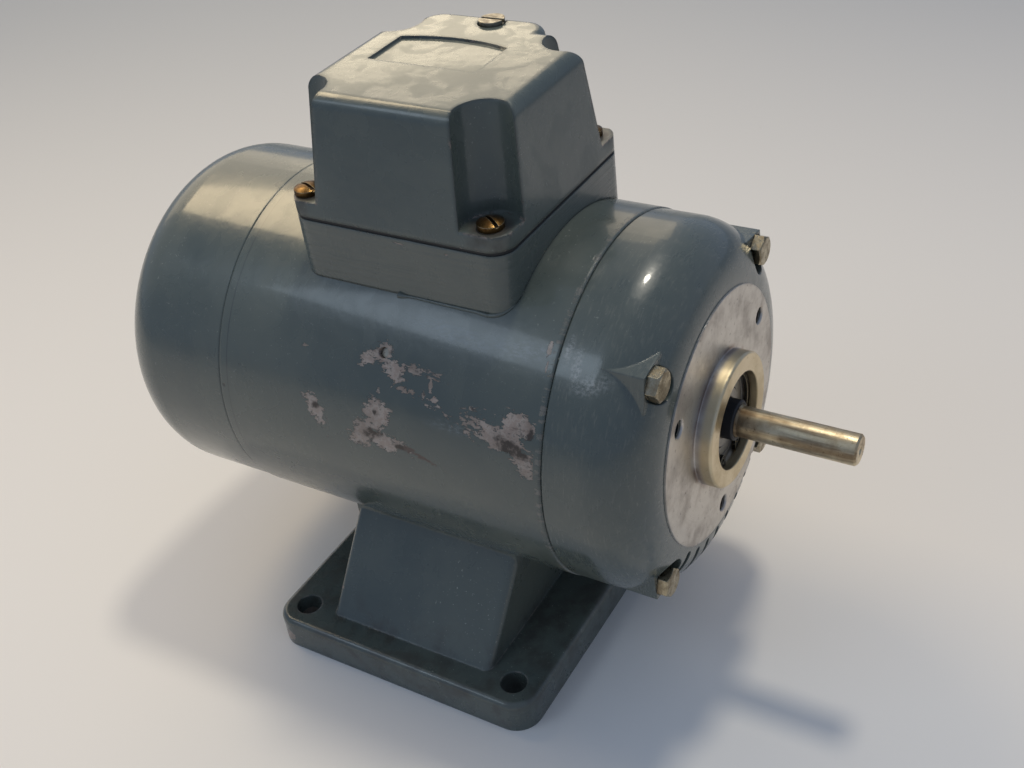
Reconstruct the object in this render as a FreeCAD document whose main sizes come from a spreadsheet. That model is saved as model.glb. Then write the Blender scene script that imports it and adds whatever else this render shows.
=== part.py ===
"""Foot-mounted demonstration electric motor with a round housing and a terminal box on top.

The shaft lies along X with its drive end at +X, Z is up, and the origin is the middle of the
foot's underside. All lengths are in millimetres and all angles in degrees.
"""
import FreeCAD, Part
import math
import os

import Sketcher

SIZES = {
    # shaft line and housing
    "shaft_height": 102.0,
    "housing_radius": 67.0,
    "housing_length": 134.0,
    "housing_wall": 5.0,
    "seam_bevel": 0.5,
    "cut_overrun": 3.0,
    "seat_clearance": 0.1,
    "thread_clearance": 0.1,
    # front end shield
    "shield_step": 0.4,
    "shield_straight": 13.7,
    "shield_corner": 20.1,
    "shield_wall": 5.0,
    "register_depth": 4.0,
    "register_wall": 3.2,
    "register_clearance": 0.2,
    "register_root": 5.0,
    "face_proud": 0.5,
    "spigot_radius": 24.2,
    "spigot_length": 6.1,
    "spigot_bevel": 0.6,
    "hub_wall": 6.0,
    "lug_bolt_circle": 59.5,
    "lug_front": 29.5,
    "lug_seat": 28.0,
    "lug_half_width": 10.0,
    "lug_shoulder": 7.6,
    "lug_root_half_width": 7.0,
    "lug_root_depth": 15.0,
    "pocket_margin": 0.2,
    "pocket_half_width": 6.0,
    "pocket_setback": 1.5,
    "pocket_inner_radius": 51.0,
    "bolt_clearance": 0.2,
    "face_hole_circle": 40.0,
    "face_hole_radius": 3.0,
    "face_hole_bevel": 0.4,
    "vent_width": 3.2,
    "vent_inner_radius": 48.3,
    "vent_outer_radius": 61.0,
    # ball bearings, the same at both ends
    "bearing_bore_radius": 7.5,
    "bearing_outer_radius": 17.5,
    "bearing_width": 11.0,
    "bearing_recess": 4.6,
    "bearing_lip": 2.0,
    "bearing_lip_height": 2.5,
    "inner_ring_wall": 3.1,
    "outer_ring_wall": 3.1,
    "race_radius": 3.0,
    "race_clearance": 0.3,
    "cage_half_height": 0.8,
    "cage_half_width": 3.0,
    "bearing_shield_thickness": 0.6,
    "bearing_shield_inset": 0.2,
    "bearing_shield_gap": 0.4,
    "retaining_ring_thickness": 1.4,
    "retaining_ring_height": 2.4,
    "retaining_groove_depth": 0.8,
    "retaining_clearance": 0.1,
    "retaining_gap": 9.0,
    "retaining_ear_radius": 2.0,
    "retaining_ear_hole_radius": 0.9,
    "wave_washer_thickness": 1.0,
    "wave_washer_wall": 2.2,
    # shaft
    "shaft_radius": 5.5,
    "shaft_end_length": 42.2,
    "shaft_body_radius": 9.0,
    "rotor_seat_radius": 10.0,
    "rotor_seat_margin": 9.0,
    "fan_seat_radius": 6.5,
    "shaft_end_bevel": 0.7,
    "centre_drill_radius": 1.5,
    "centre_drill_depth": 2.6,
    "collar_step": 0.3,
    "collar_wall": 1.3,
    "collar_proud": 0.3,
    "collar_seat_taper": 0.9,
    "collar_bevel": 0.5,
    # stator and rotor
    "core_front_space": 38.0,
    "core_rear_space": 26.0,
    "stator_bore_radius": 36.4,
    "air_gap": 0.4,
    "winding_length": 16.0,
    "winding_inner_radius": 39.0,
    "winding_outer_radius": 50.0,
    "winding_corner": 4.0,
    "end_ring_length": 8.0,
    "end_ring_inner_radius": 25.0,
    "end_ring_margin": 1.5,
    "blade_height": 6.0,
    "blade_thickness": 2.0,
    "blade_inset": 1.0,
    # bosses inside the housing
    "front_boss_radius": 7.0,
    "front_boss_length": 18.0,
    "rear_boss_circle": 55.0,
    "rear_boss_radius": 8.5,
    "rear_boss_length": 7.0,
    # rear bracket, fan and rear cover
    "bracket_recess": 3.0,
    "bracket_thickness": 6.0,
    "bracket_clearance": 0.3,
    "bracket_hub_wall": 5.5,
    "bracket_window_circle": 42.0,
    "bracket_window_radius": 8.0,
    "rear_hub_reach": 18.0,
    "fan_gap": 4.0,
    "fan_hub_radius": 11.0,
    "fan_hub_length": 12.0,
    "fan_radius": 31.0,
    "fan_plate_thickness": 2.0,
    "fan_blade_root": 1.0,
    "fan_blade_thickness": 1.8,
    "fan_clip_thickness": 1.2,
    "fan_clip_height": 2.4,
    "fan_clip_groove": 0.8,
    "fan_tail": 2.0,
    "cover_straight": 34.2,
    "cover_corner": 20.3,
    "cover_wall": 4.6,
    "cover_boss_length": 3.0,
    "cover_screw_recess": 3.4,
    "pillar_circle": 40.0,
    "pillar_radius": 5.5,
    # bolts and screws
    "bolt_radius": 3.0,
    "bolt_across_flats": 10.0,
    "bolt_head_height": 4.0,
    "bolt_engagement": 14.0,
    "spring_washer_radius": 5.2,
    "spring_washer_thickness": 1.6,
    "screw_radius": 2.5,
    "screw_head_radius": 4.6,
    "screw_head_height": 3.1,
    "screw_slot_width": 1.3,
    "screw_slot_depth": 1.4,
    "screw_engagement": 6.0,
    "lock_screw_radius": 1.8,
    "lock_screw_recess": 1.4,
    "lock_screw_offset": 4.2,
    # terminal box
    "box_centre": 5.2,
    "box_length": 85.5,
    "box_width": 82.0,
    "box_corner": 8.0,
    "box_wall": 4.5,
    "box_inner_corner": 22.0,
    "box_seam_height": 176.9,
    "gasket_thickness": 1.3,
    "gasket_inset": 0.4,
    "lid_height": 41.3,
    "lid_flange_height": 5.2,
    "lid_end_lean": 2.8,
    "lid_side_lean": 7.6,
    "lid_edge_fillet": 5.0,
    "lid_wall": 3.2,
    "lid_screw_shift": -2.0,
    "lid_screw_end_margin": 6.5,
    "lid_screw_side_margin": 7.3,
    "scallop_outset": 1.2,
    "scallop_bottom_radius": 10.6,
    "scallop_top_radius": 9.8,
    "scallop_end_lean": 2.7,
    "scallop_side_lean": 6.4,
    "lobe_offset": -5.4,
    "lobe_half_length": 25.0,
    "lobe_proud": 0.5,
    "lobe_depth": 26.0,
    "lobe_corner": 9.0,
    "lobe_fillet": 3.0,
    "lobe_screw_offset": -2.0,
    "lobe_screw_margin": 5.3,
    "lobe_screw_sink": 1.8,
    "lobe_screw_gap": 0.7,
    "panel_offset": -6.0,
    "panel_half_length": 21.3,
    "panel_near": 3.0,
    "panel_far": 17.0,
    "panel_crown_radius": 70.0,
    "panel_depth": 0.9,
    "lead_hole_offset": 30.5,
    "lead_hole_radius": 7.0,
    "board_pillar_radius": 3.8,
    "board_pillar_spacing": 50.0,
    "board_lift": 14.0,
    "board_length": 58.0,
    "board_width": 27.0,
    "board_thickness": 6.0,
    "stud_spacing": 18.0,
    "stud_row_spacing": 15.0,
    "stud_radius": 2.0,
    "stud_tail": 1.5,
    "stud_proud": 9.0,
    "nut_across_flats": 7.0,
    "nut_height": 3.2,
    "link_thickness": 1.0,
    "link_half_width": 3.5,
    "board_screw_radius": 2.0,
    "board_screw_head_radius": 3.4,
    "board_screw_head_height": 2.4,
    "base_screw_spacing": 30.0,
    "base_screw_depth": 4.0,
    "lead_radius": 0.9,
    "lead_pitch": 2.4,
    "lead_start_reach": 5.2,
    "lead_bend": 2.4,
    "earth_offset": 30.0,
    "earth_reach": 17.0,
    "earth_boss_radius": 5.0,
    "earth_boss_lift": 4.0,
    "entry_radius": 6.0,
    "gland_across_flats": 15.0,
    "gland_flange_length": 5.0,
    "gland_body_radius": 6.6,
    "gland_body_length": 9.0,
    "gland_seal_radius": 4.0,
    "gland_seal_recess": 1.2,
    # cast foot
    "plate_length": 117.5,
    "plate_width": 164.0,
    "plate_thickness": 13.5,
    "plate_corner": 10.0,
    "plate_edge_fillet": 2.6,
    "foot_hole_spacing_length": 95.5,
    "foot_hole_spacing_width": 142.0,
    "foot_hole_radius": 5.0,
    "pedestal_length": 73.0,
    "pedestal_offset": 0.7,
    "pedestal_root_half_width": 71.0,
    "pedestal_neck_half_width": 43.3,
    "pedestal_neck_height": 48.0,
    "pedestal_corner": 3.0,
    "relief_length": 62.0,
    "relief_width": 112.0,
    "relief_depth": 2.5,
    "foot_screw_spacing": 36.0,
    "foot_screw_head_radius": 5.0,
    "foot_screw_head_height": 6.0,
    "foot_screw_socket": 5.0,
    "foot_screw_socket_depth": 3.0,
    "foot_screw_lift": 18.0,
    "foot_screw_bore_margin": 1.0,
}

# angles, counts and shares
DIAGONAL = 45.0
QUARTER = 90.0
FULL_TURN = 360.0
DIAGONAL_COUNT = 4
FACE_HOLE_START = 30.0
FACE_HOLE_COUNT = 3
VENT_START = -126.4
VENT_STEP = 10.4
VENT_COUNT = 8
BALL_COUNT = 8
ROTOR_BLADE_COUNT = 8
FAN_BLADE_COUNT = 7
FAN_BLADE_LEAN = 24.0
LOCK_SCREW_ANGLE = 145.0
HEX_SIDES = 6
HALF_SHARE = 0.5
CORNER_SIDES = ((-1.0, -1.0), (1.0, -1.0), (1.0, 1.0), (-1.0, 1.0))

doc = FreeCAD.newDocument("demonstration_motor")
sheet = doc.addObject("Spreadsheet::Sheet", "Sizes")
nodes = []


class Size:
    """A size worked out from the sheet: its formula for an expression and its present value."""

    def __init__(self, text, value):
        self.text = text
        self.value = value

    def joined(self, sign, other, value):
        return Size("(%s %s %s)" % (self.text, sign, other.text), value)

    def __add__(self, other):
        return self.joined("+", other, self.value + other.value)

    def __sub__(self, other):
        return self.joined("-", other, self.value - other.value)

    def __mul__(self, share):
        return Size("(%s * (%.12f))" % (self.text, share), self.value * share)

    def __truediv__(self, share):
        return Size("(%s / (%.12f))" % (self.text, share), self.value / share)

    def __neg__(self):
        return Size("(0 - %s)" % self.text, -self.value)


class Sheet:
    """Every size of the sheet as an attribute."""


s = Sheet()
for row, (alias, number) in enumerate(SIZES.items(), start=1):
    sheet.set("A%d" % row, alias)
    sheet.set("B%d" % row, str(number))
    sheet.setAlias("B%d" % row, alias)
    setattr(s, alias, Size("Sizes." + alias, number))
doc.recompute()

ZERO = Size("0", 0.0)
X_WAY = (1.0, 0.0, 0.0)
Y_WAY = (0.0, 1.0, 0.0)
Z_WAY = (0.0, 0.0, 1.0)
BACK_WAY = (-1.0, 0.0, 0.0)
DOWN_WAY = (0.0, 0.0, -1.0)


# helpers that bind objects to the sheet

def bind(item, path, size):
    item.setExpression(path, size.text)


def vector(spot):
    return FreeCAD.Vector(*[part.value for part in spot])


def turn_to(way):
    """The rotation that takes an object's own Z axis to a way."""
    return FreeCAD.Rotation(FreeCAD.Vector(*Z_WAY), FreeCAD.Vector(*way))


def place(item, spot, way=Z_WAY):
    item.Placement = FreeCAD.Placement(vector(spot), turn_to(way))
    for axis, part in zip("xyz", spot):
        bind(item, "Placement.Base." + axis, part)


def along(spot, way, distance):
    """The spot moved by a distance along a way."""
    return tuple(part if share == 0 else part + distance * share
                 for part, share in zip(spot, way))


def on_circle(radius, angle):
    """Y and Z of a spot on a circle about the shaft axis, its angle taken from +Y towards +Z."""
    turn = math.radians(angle)
    return radius * math.cos(turn), radius * math.sin(turn)


def around_shaft(radius, x, angle):
    y, z = on_circle(radius, angle)
    return x, y, s.shaft_height + z


def diagonal_angles():
    return [DIAGONAL + QUARTER * count for count in range(DIAGONAL_COUNT)]


def keep(item, label):
    """Gives a finished sub-part its label and files it as a node."""
    item.Label = label
    nodes.append(item)
    return item


def cylinder(name, radius, height, spot, way=Z_WAY):
    item = doc.addObject("Part::Cylinder", name)
    place(item, spot, way)
    bind(item, "Radius", radius)
    bind(item, "Height", height)
    return item


def cone(name, radius, end_radius, height, spot, way=Z_WAY):
    item = doc.addObject("Part::Cone", name)
    place(item, spot, way)
    bind(item, "Radius1", radius)
    bind(item, "Radius2", end_radius)
    bind(item, "Height", height)
    return item


def leaning_cone(name, low, high, low_radius, high_radius):
    """A cone between two level circles whose middles need not stand above each other."""
    rims = []
    for label, spot, radius in (("low", low, low_radius), ("high", high, high_radius)):
        rim = doc.addObject("Part::Circle", "%s_%s" % (name, label))
        place(rim, spot)
        bind(rim, "Radius", radius)
        rims.append(rim)
    item = doc.addObject("Part::Loft", name)
    item.Sections = rims
    item.Solid = True
    item.Ruled = True
    return item


def prism(name, across_flats, height, spot, way=Z_WAY):
    item = doc.addObject("Part::Prism", name)
    item.Polygon = HEX_SIDES
    place(item, spot, way)
    bind(item, "Circumradius", across_flats / math.sqrt(3.0))
    bind(item, "Height", height)
    return item


def box(name, sizes, middle_bottom, way=Z_WAY):
    """A box with its bottom's middle at a spot and its height along a way."""
    corner = middle_bottom
    for own_axis, extent in zip((X_WAY, Y_WAY), sizes):
        turned = turn_to(way).multVec(FreeCAD.Vector(*own_axis))
        corner = along(corner, [round(-HALF_SHARE * part, 9) for part in turned], extent)
    item = doc.addObject("Part::Box", name)
    place(item, corner, way)
    for path, extent in zip(("Length", "Width", "Height"), sizes):
        bind(item, path, extent)
    return item


def cut(name, base, tool):
    item = doc.addObject("Part::Cut", name)
    item.Base = base
    item.Tool = tool
    return item


def fuse(name, parts):
    item = doc.addObject("Part::MultiFuse", name)
    item.Shapes = parts
    item.Refine = True
    return item


def group(name, parts):
    item = doc.addObject("Part::Compound", name)
    item.Links = parts
    return item


def new_body(name, height=ZERO, centre=ZERO):
    body = doc.addObject("PartDesign::Body", name)
    place(body, (centre, ZERO, height))
    return body


def origin_feature(body, role):
    return [part for part in body.Origin.OriginFeatures if part.Role == role][0]


def sketch_on(body, name, role, offset=ZERO, angle=0.0):
    sketch = body.newObject("Sketcher::SketchObject", name)
    sketch.AttachmentSupport = [(origin_feature(body, role), "")]
    sketch.MapMode = "FlatFace"
    turn = FreeCAD.Rotation(FreeCAD.Vector(*Z_WAY), angle)
    sketch.AttachmentOffset = FreeCAD.Placement(vector((ZERO, ZERO, offset)), turn)
    bind(sketch, "AttachmentOffset.Base.z", offset)
    return sketch


def dimension(sketch, constraint, size):
    bind(sketch, "Constraints[%d]" % sketch.addConstraint(constraint), size)


def fix_point(sketch, geometry, point, x, y):
    """Ties one point of a sketch to its two distances from the sketch's origin."""
    for kind, axis, part in (("DistanceX", -2, x), ("DistanceY", -1, y)):
        if part is ZERO:
            sketch.addConstraint(Sketcher.Constraint("PointOnObject", geometry, point, axis))
        else:
            dimension(sketch, Sketcher.Constraint(
                kind, -1, 1, geometry, point, part.value), part)


def arc_between(start, end, radius):
    """The short arc of a radius from start to end, bulging to the right of the way."""
    chord = end - start
    across = FreeCAD.Vector(chord.y, -chord.x, 0).normalize()
    sagitta = radius - math.sqrt(radius ** 2 - (chord.Length * HALF_SHARE) ** 2)
    return Part.Arc(start, (start + end) * HALF_SHARE + across * sagitta, end)


def outline(sketch, corners, arcs=None):
    """Draws a closed outline. arcs gives, for the side that starts at a corner, its radius and
    whether it bulges to the left of the way round."""
    arcs = arcs or {}
    first = sketch.GeometryCount
    count = len(corners)
    spots = [vector((x, y, ZERO)) for x, y in corners]
    ends = [(1, 2)] * count
    for index, spot in enumerate(spots):
        after = spots[(index + 1) % count]
        if index not in arcs:
            sketch.addGeometry(Part.LineSegment(spot, after))
            continue
        radius, left = arcs[index]
        if left:
            spot, after = after, spot
            ends[index] = (2, 1)
        sketch.addGeometry(arc_between(spot, after, radius.value))
    for index, (x, y) in enumerate(corners):
        after = (index + 1) % count
        sketch.addConstraint(Sketcher.Constraint(
            "Coincident", first + index, ends[index][1], first + after, ends[after][0]))
        fix_point(sketch, first + index, ends[index][0], x, y)
    for index, (radius, left) in arcs.items():
        dimension(sketch, Sketcher.Constraint("Radius", first + index, radius.value), radius)


def circle(sketch, x, y, radius):
    index = sketch.addGeometry(
        Part.Circle(vector((x, y, ZERO)), FreeCAD.Vector(*Z_WAY), radius.value))
    fix_point(sketch, index, 3, x, y)
    dimension(sketch, Sketcher.Constraint("Radius", index, radius.value), radius)


def rounded_rectangle(sketch, half_length, half_width, corner):
    """A rectangle about the sketch's origin with four round corners."""
    x, y, r = half_length, half_width, corner
    corners = [(x - r, -y), (x, r - y), (x, y - r), (x - r, y),
               (r - x, y), (-x, y - r), (-x, r - y), (r - x, -y)]
    outline(sketch, corners, {index: (r, False) for index in (0, 2, 4, 6)})


def slot(sketch, start, end, half_width):
    """A slot with round ends whose middle line lies on the sketch's X axis."""
    first = sketch.GeometryCount
    up = FreeCAD.Vector(*Y_WAY) * half_width.value
    near, far = vector((start, ZERO, ZERO)), vector((end, ZERO, ZERO))
    reach = FreeCAD.Vector(*X_WAY) * half_width.value
    sketch.addGeometry(Part.LineSegment(near - up, far - up))
    sketch.addGeometry(Part.Arc(far - up, far + reach, far + up))
    sketch.addGeometry(Part.LineSegment(far + up, near + up))
    sketch.addGeometry(Part.Arc(near + up, near - reach, near - up))
    for index in range(4):
        sketch.addConstraint(Sketcher.Constraint(
            "Tangent", first + index, 2, first + (index + 1) % 4, 1))
    sketch.addConstraint(Sketcher.Constraint("Equal", first + 1, first + 3))
    fix_point(sketch, first + 1, 3, end, ZERO)
    fix_point(sketch, first + 3, 3, start, ZERO)
    dimension(sketch, Sketcher.Constraint("Radius", first + 1, half_width.value), half_width)


def revolve(body, sketch):
    turned = body.newObject("PartDesign::Revolution", sketch.Name + "_turned")
    turned.Profile = sketch
    turned.ReferenceAxis = (sketch, ["H_Axis"])
    turned.Angle = FULL_TURN
    return turned


def ring_section(start, end, inner, outer):
    return [(start, inner), (end, inner), (end, outer), (start, outer)]


def turned_body(name, corners, arcs=None):
    """A body turned about the shaft axis from a half section in X and radius."""
    body = new_body(name, s.shaft_height)
    sketch = sketch_on(body, name + "_section", "XZ_Plane")
    outline(sketch, corners, arcs)
    revolve(body, sketch)
    return body


def pad(body, sketch, length, backwards=False):
    raised = body.newObject("PartDesign::Pad", sketch.Name + "_pad")
    raised.Profile = sketch
    bind(raised, "Length", length)
    raised.Reversed = backwards
    return raised


def loft_pad(body, name, height, low, high):
    """A block between two rounded rectangles, each (half length, half width, corner)."""
    rims = []
    for label, level, sizes in (("root", ZERO, low), ("crown", height, high)):
        rim = sketch_on(body, "%s_%s" % (name, label), "XY_Plane", level)
        rounded_rectangle(rim, *sizes)
        rims.append(rim)
    block = body.newObject("PartDesign::AdditiveLoft", name)
    block.Profile = rims[0]
    block.Sections = rims[1:]
    block.Ruled = True
    return block


def pocket(body, sketch, length, forwards=False):
    """Cuts against the sketch's normal, or along it where forwards is set."""
    hollow = body.newObject("PartDesign::Pocket", sketch.Name + "_pocket")
    hollow.Profile = sketch
    bind(hollow, "Length", length)
    hollow.Reversed = forwards
    return hollow


def polar(body, feature, count, angle=FULL_TURN, role="X_Axis"):
    pattern = body.newObject("PartDesign::PolarPattern", feature.Name + "_pattern")
    pattern.Originals = [feature]
    pattern.Axis = (origin_feature(body, role), [""])
    pattern.Angle = angle
    pattern.Occurrences = count
    body.Tip = pattern
    return pattern


def edges_where(feature, test):
    """The names of the edges of a feature that pass a test."""
    doc.recompute()
    return ["Edge%d" % (index + 1)
            for index, edge in enumerate(feature.Shape.Edges) if test(edge)]


def dress(body, kind, feature, names, size):
    """Rounds or bevels edges of the feature, kind being Fillet or Chamfer."""
    dressed = body.newObject("PartDesign::" + kind, feature.Name + "_" + kind.lower())
    dressed.Base = (feature, names)
    bind(dressed, "Radius" if kind == "Fillet" else "Size", size)
    return dressed


def slotted_screw(name, seat, way, radius, grip, head_radius, head_height):
    """A cheese-head screw: its head stands on the seat along the way, its shank goes below."""
    shank = cylinder(name + "_shank", radius, grip + head_height, along(seat, way, -grip), way)
    head = cylinder(name + "_head", head_radius, head_height, seat, way)
    blank = fuse(name + "_blank", [shank, head])
    slot_size = (head_radius * 2.0 + s.cut_overrun, s.screw_slot_width, s.cut_overrun)
    slot_floor = along(seat, way, head_height - s.screw_slot_depth)
    return cut(name, blank, box(name + "_slot", slot_size, slot_floor, way))


# places along the shaft
front_seam = s.housing_length / 2.0
rear_seam = -front_seam
drum_end = front_seam + s.shield_straight
dome_front = drum_end + s.shield_corner
face_front = dome_front + s.face_proud
spigot_front = face_front + s.spigot_length
front_bearing_front = spigot_front - s.bearing_recess
front_bearing_back = front_bearing_front - s.bearing_width
shaft_front = spigot_front + s.shaft_end_length
collar_front = spigot_front + s.collar_proud
core_front = front_seam - s.core_front_space
core_rear = rear_seam + s.core_rear_space
bracket_front = rear_seam + s.bracket_recess
bracket_rear = bracket_front - s.bracket_thickness
rear_hub_end = bracket_rear - s.rear_hub_reach
rear_bearing_back = rear_hub_end + s.bearing_lip + s.wave_washer_thickness
rear_bearing_front = rear_bearing_back + s.bearing_width
fan_front = rear_hub_end - s.fan_gap
fan_rear = fan_front - s.fan_hub_length
clip_front = fan_rear - s.retaining_clearance
clip_rear = clip_front - s.fan_clip_thickness
shaft_rear = clip_rear - s.fan_tail
cover_drum_end = rear_seam - s.cover_straight
cover_rear = cover_drum_end - s.cover_corner
pillar_rear = cover_rear + s.cover_wall + s.cover_boss_length
boss_front = front_seam - s.register_depth - s.register_clearance

# radii
housing_bore = s.housing_radius - s.housing_wall
shield_radius = s.housing_radius - s.shield_step
face_radius = shield_radius - s.shield_corner
bearing_seat_radius = s.bearing_outer_radius + s.seat_clearance
bearing_lip_radius = s.bearing_outer_radius - s.bearing_lip_height
rotor_radius = s.stator_bore_radius - s.air_gap
collar_seat_radius = s.shaft_radius + s.collar_step

# levels of the terminal box
box_floor_radius = s.housing_radius + s.box_wall
gasket_top = s.box_seam_height + s.gasket_thickness
lid_ledge = gasket_top + s.lid_flange_height
lid_top = gasket_top + s.lid_height
board_bottom = s.shaft_height + box_floor_radius + s.board_lift
board_top = board_bottom + s.board_thickness
lead_hole_x = s.box_centre + s.lead_hole_offset
lobe_reach = s.box_width / 2.0 + s.lobe_proud
lid_screw_half_length = s.box_length / 2.0 - s.lid_screw_end_margin
lid_screw_half_width = s.box_width / 2.0 - s.lid_screw_side_margin


def lock_tools(name, radius, start, length):
    """Radial cylinders where the two core locking screws sit, from a radius outwards."""
    tools = []
    for index, angle in enumerate((LOCK_SCREW_ANGLE, 180.0 - LOCK_SCREW_ANGLE)):
        turn = math.radians(angle)
        way = (0.0, math.cos(turn), math.sin(turn))
        spot = along((s.lock_screw_offset, ZERO, s.shaft_height), way, start)
        tools.append(cylinder("%s_%d" % (name, index + 1), radius, length, spot, way))
    return tools


def stator_housing():
    """Round tube with bosses inside for the bolts, and holes for leads and screws."""
    bevel = s.seam_bevel
    body = turned_body("housing_tube", [
        (rear_seam, housing_bore), (front_seam, housing_bore),
        (front_seam, s.housing_radius - bevel), (front_seam - bevel, s.housing_radius),
        (rear_seam + bevel, s.housing_radius), (rear_seam, s.housing_radius - bevel)])
    bosses = (
        ("front_boss", boss_front, s.lug_bolt_circle, s.front_boss_radius,
         s.front_boss_length, s.bolt_radius, True),
        ("rear_boss", bracket_front, s.rear_boss_circle, s.rear_boss_radius,
         s.rear_boss_length, s.screw_radius, False))
    for name, face, ring, radius, length, bore, backwards in bosses:
        sketch = sketch_on(body, name, "YZ_Plane", face)
        circle(sketch, *on_circle(ring, DIAGONAL), radius)
        polar(body, pad(body, sketch, length, backwards), DIAGONAL_COUNT)
        mouth = front_seam if backwards else rear_seam
        depth = mouth - face + length if backwards else face - mouth + length
        sketch = sketch_on(body, name + "_bore", "YZ_Plane", mouth)
        circle(sketch, *on_circle(ring, DIAGONAL), bore + s.thread_clearance)
        polar(body, pocket(body, sketch, depth, not backwards), DIAGONAL_COUNT)
    through = s.housing_wall + s.cut_overrun * 2.0
    inside = housing_bore - s.cut_overrun
    sketch = sketch_on(body, "lead_hole", "XY_Plane", inside)
    circle(sketch, lead_hole_x, ZERO, s.lead_hole_radius)
    for side in (-HALF_SHARE, HALF_SHARE):
        circle(sketch, s.box_centre + s.base_screw_spacing * side, ZERO,
               s.screw_radius + s.thread_clearance)
    pocket(body, sketch, through, True)
    sketch = sketch_on(body, "foot_screw_hole", "XY_Plane", -inside)
    for side in (-HALF_SHARE, HALF_SHARE):
        circle(sketch, s.foot_screw_spacing * side, ZERO, s.bolt_radius + s.thread_clearance)
    body.Tip = pocket(body, sketch, through)
    holes = lock_tools("housing_lock_hole", s.lock_screw_radius + s.thread_clearance,
                       inside, through)
    keep(cut("housing", body, group("housing_lock_holes", holes)), "stator_housing")


def vents(body, name, face, depth, forwards):
    """Radial slots in the lower shoulder, between the lower two bolt lugs."""
    sketch = sketch_on(body, name, "YZ_Plane", face, VENT_START)
    half_width = s.vent_width / 2.0
    slot(sketch, s.vent_inner_radius + half_width, s.vent_outer_radius - half_width, half_width)
    polar(body, pocket(body, sketch, depth, forwards), VENT_COUNT,
          VENT_STEP * (VENT_COUNT - 1))


def front_end_shield():
    """Cast shield: a drum that rounds over to a machined face, with a spigot ring round the
    bearing, four ridged bolt lugs that run out into the dome, and a fan of vents below."""
    drum_bore = shield_radius - s.shield_wall
    register_radius = housing_bore - s.register_clearance
    register_bore = register_radius - s.register_wall
    register_back = front_seam - s.register_depth
    root = front_seam + s.register_root
    wall_back = dome_front - s.shield_wall
    hub_radius = bearing_seat_radius + s.hub_wall
    hub_back = front_bearing_back - s.bearing_lip
    groove_back = front_bearing_front + s.retaining_clearance
    groove_front = groove_back + s.retaining_ring_thickness + s.retaining_clearance
    groove_radius = bearing_seat_radius + s.retaining_groove_depth
    body = turned_body("shield_casting", [
        (register_back, register_bore), (root, register_bore), (root, drum_bore),
        (drum_end, drum_bore), (wall_back, face_radius), (wall_back, hub_radius),
        (hub_back, hub_radius), (hub_back, bearing_lip_radius),
        (front_bearing_back, bearing_lip_radius), (front_bearing_back, bearing_seat_radius),
        (groove_back, bearing_seat_radius), (groove_back, groove_radius),
        (groove_front, groove_radius), (groove_front, bearing_seat_radius),
        (spigot_front, bearing_seat_radius), (spigot_front, s.spigot_radius - s.spigot_bevel),
        (spigot_front - s.spigot_bevel, s.spigot_radius), (face_front, s.spigot_radius),
        (face_front, face_radius), (dome_front, face_radius), (drum_end, shield_radius),
        (front_seam + s.seam_bevel, shield_radius), (front_seam, shield_radius - s.seam_bevel),
        (front_seam, register_radius), (register_back, register_radius)],
        {3: (s.shield_corner - s.shield_wall, True), 19: (s.shield_corner, False)})
    shoulder = shield_radius - s.lug_shoulder
    lug_root = shield_radius - s.lug_root_depth
    sketch = sketch_on(body, "lug", "YZ_Plane", front_seam, DIAGONAL)
    outline(sketch, [
        (shield_radius, ZERO), (shoulder, s.lug_half_width),
        (lug_root, s.lug_root_half_width), (lug_root, -s.lug_root_half_width),
        (shoulder, -s.lug_half_width)])
    polar(body, pad(body, sketch, s.lug_front), DIAGONAL_COUNT)
    seat = front_seam + s.lug_seat
    sketch = sketch_on(body, "bolt_pocket", "YZ_Plane", seat, DIAGONAL)
    slot(sketch, s.pocket_inner_radius + s.pocket_half_width,
         s.lug_bolt_circle - s.pocket_setback, s.pocket_half_width)
    polar(body, pocket(body, sketch, face_front - seat, True), DIAGONAL_COUNT)
    sketch = sketch_on(body, "washer_seat", "YZ_Plane", seat)
    circle(sketch, *on_circle(s.lug_bolt_circle, DIAGONAL),
           s.spring_washer_radius + s.pocket_margin)
    polar(body, pocket(body, sketch, face_front - seat, True), DIAGONAL_COUNT)
    sketch = sketch_on(body, "bolt_hole", "YZ_Plane", seat + s.cut_overrun)
    circle(sketch, *on_circle(s.lug_bolt_circle, DIAGONAL), s.bolt_radius + s.bolt_clearance)
    polar(body, pocket(body, sketch, s.lug_seat + s.register_depth + s.cut_overrun * 2.0),
          DIAGONAL_COUNT)
    sketch = sketch_on(body, "face_hole", "YZ_Plane", face_front)
    circle(sketch, *on_circle(s.face_hole_circle, FACE_HOLE_START), s.face_hole_radius)
    polar(body, pocket(body, sketch, s.shield_wall + s.face_proud), FACE_HOLE_COUNT)
    vents(body, "vent", dome_front, s.shield_corner, False)
    rim = face_front.value

    def at_face_hole(edge):
        return (edge.Curve.TypeId == "Part::GeomCircle"
                and abs(edge.Curve.Radius - s.face_hole_radius.value) < 1e-6
                and abs(edge.BoundBox.XMin - rim) < 1e-6
                and abs(edge.BoundBox.XMax - rim) < 1e-6)

    tip = body.Tip
    body.Tip = dress(body, "Chamfer", tip, edges_where(tip, at_face_hole), s.face_hole_bevel)
    keep(body, "front_end_shield")


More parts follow.
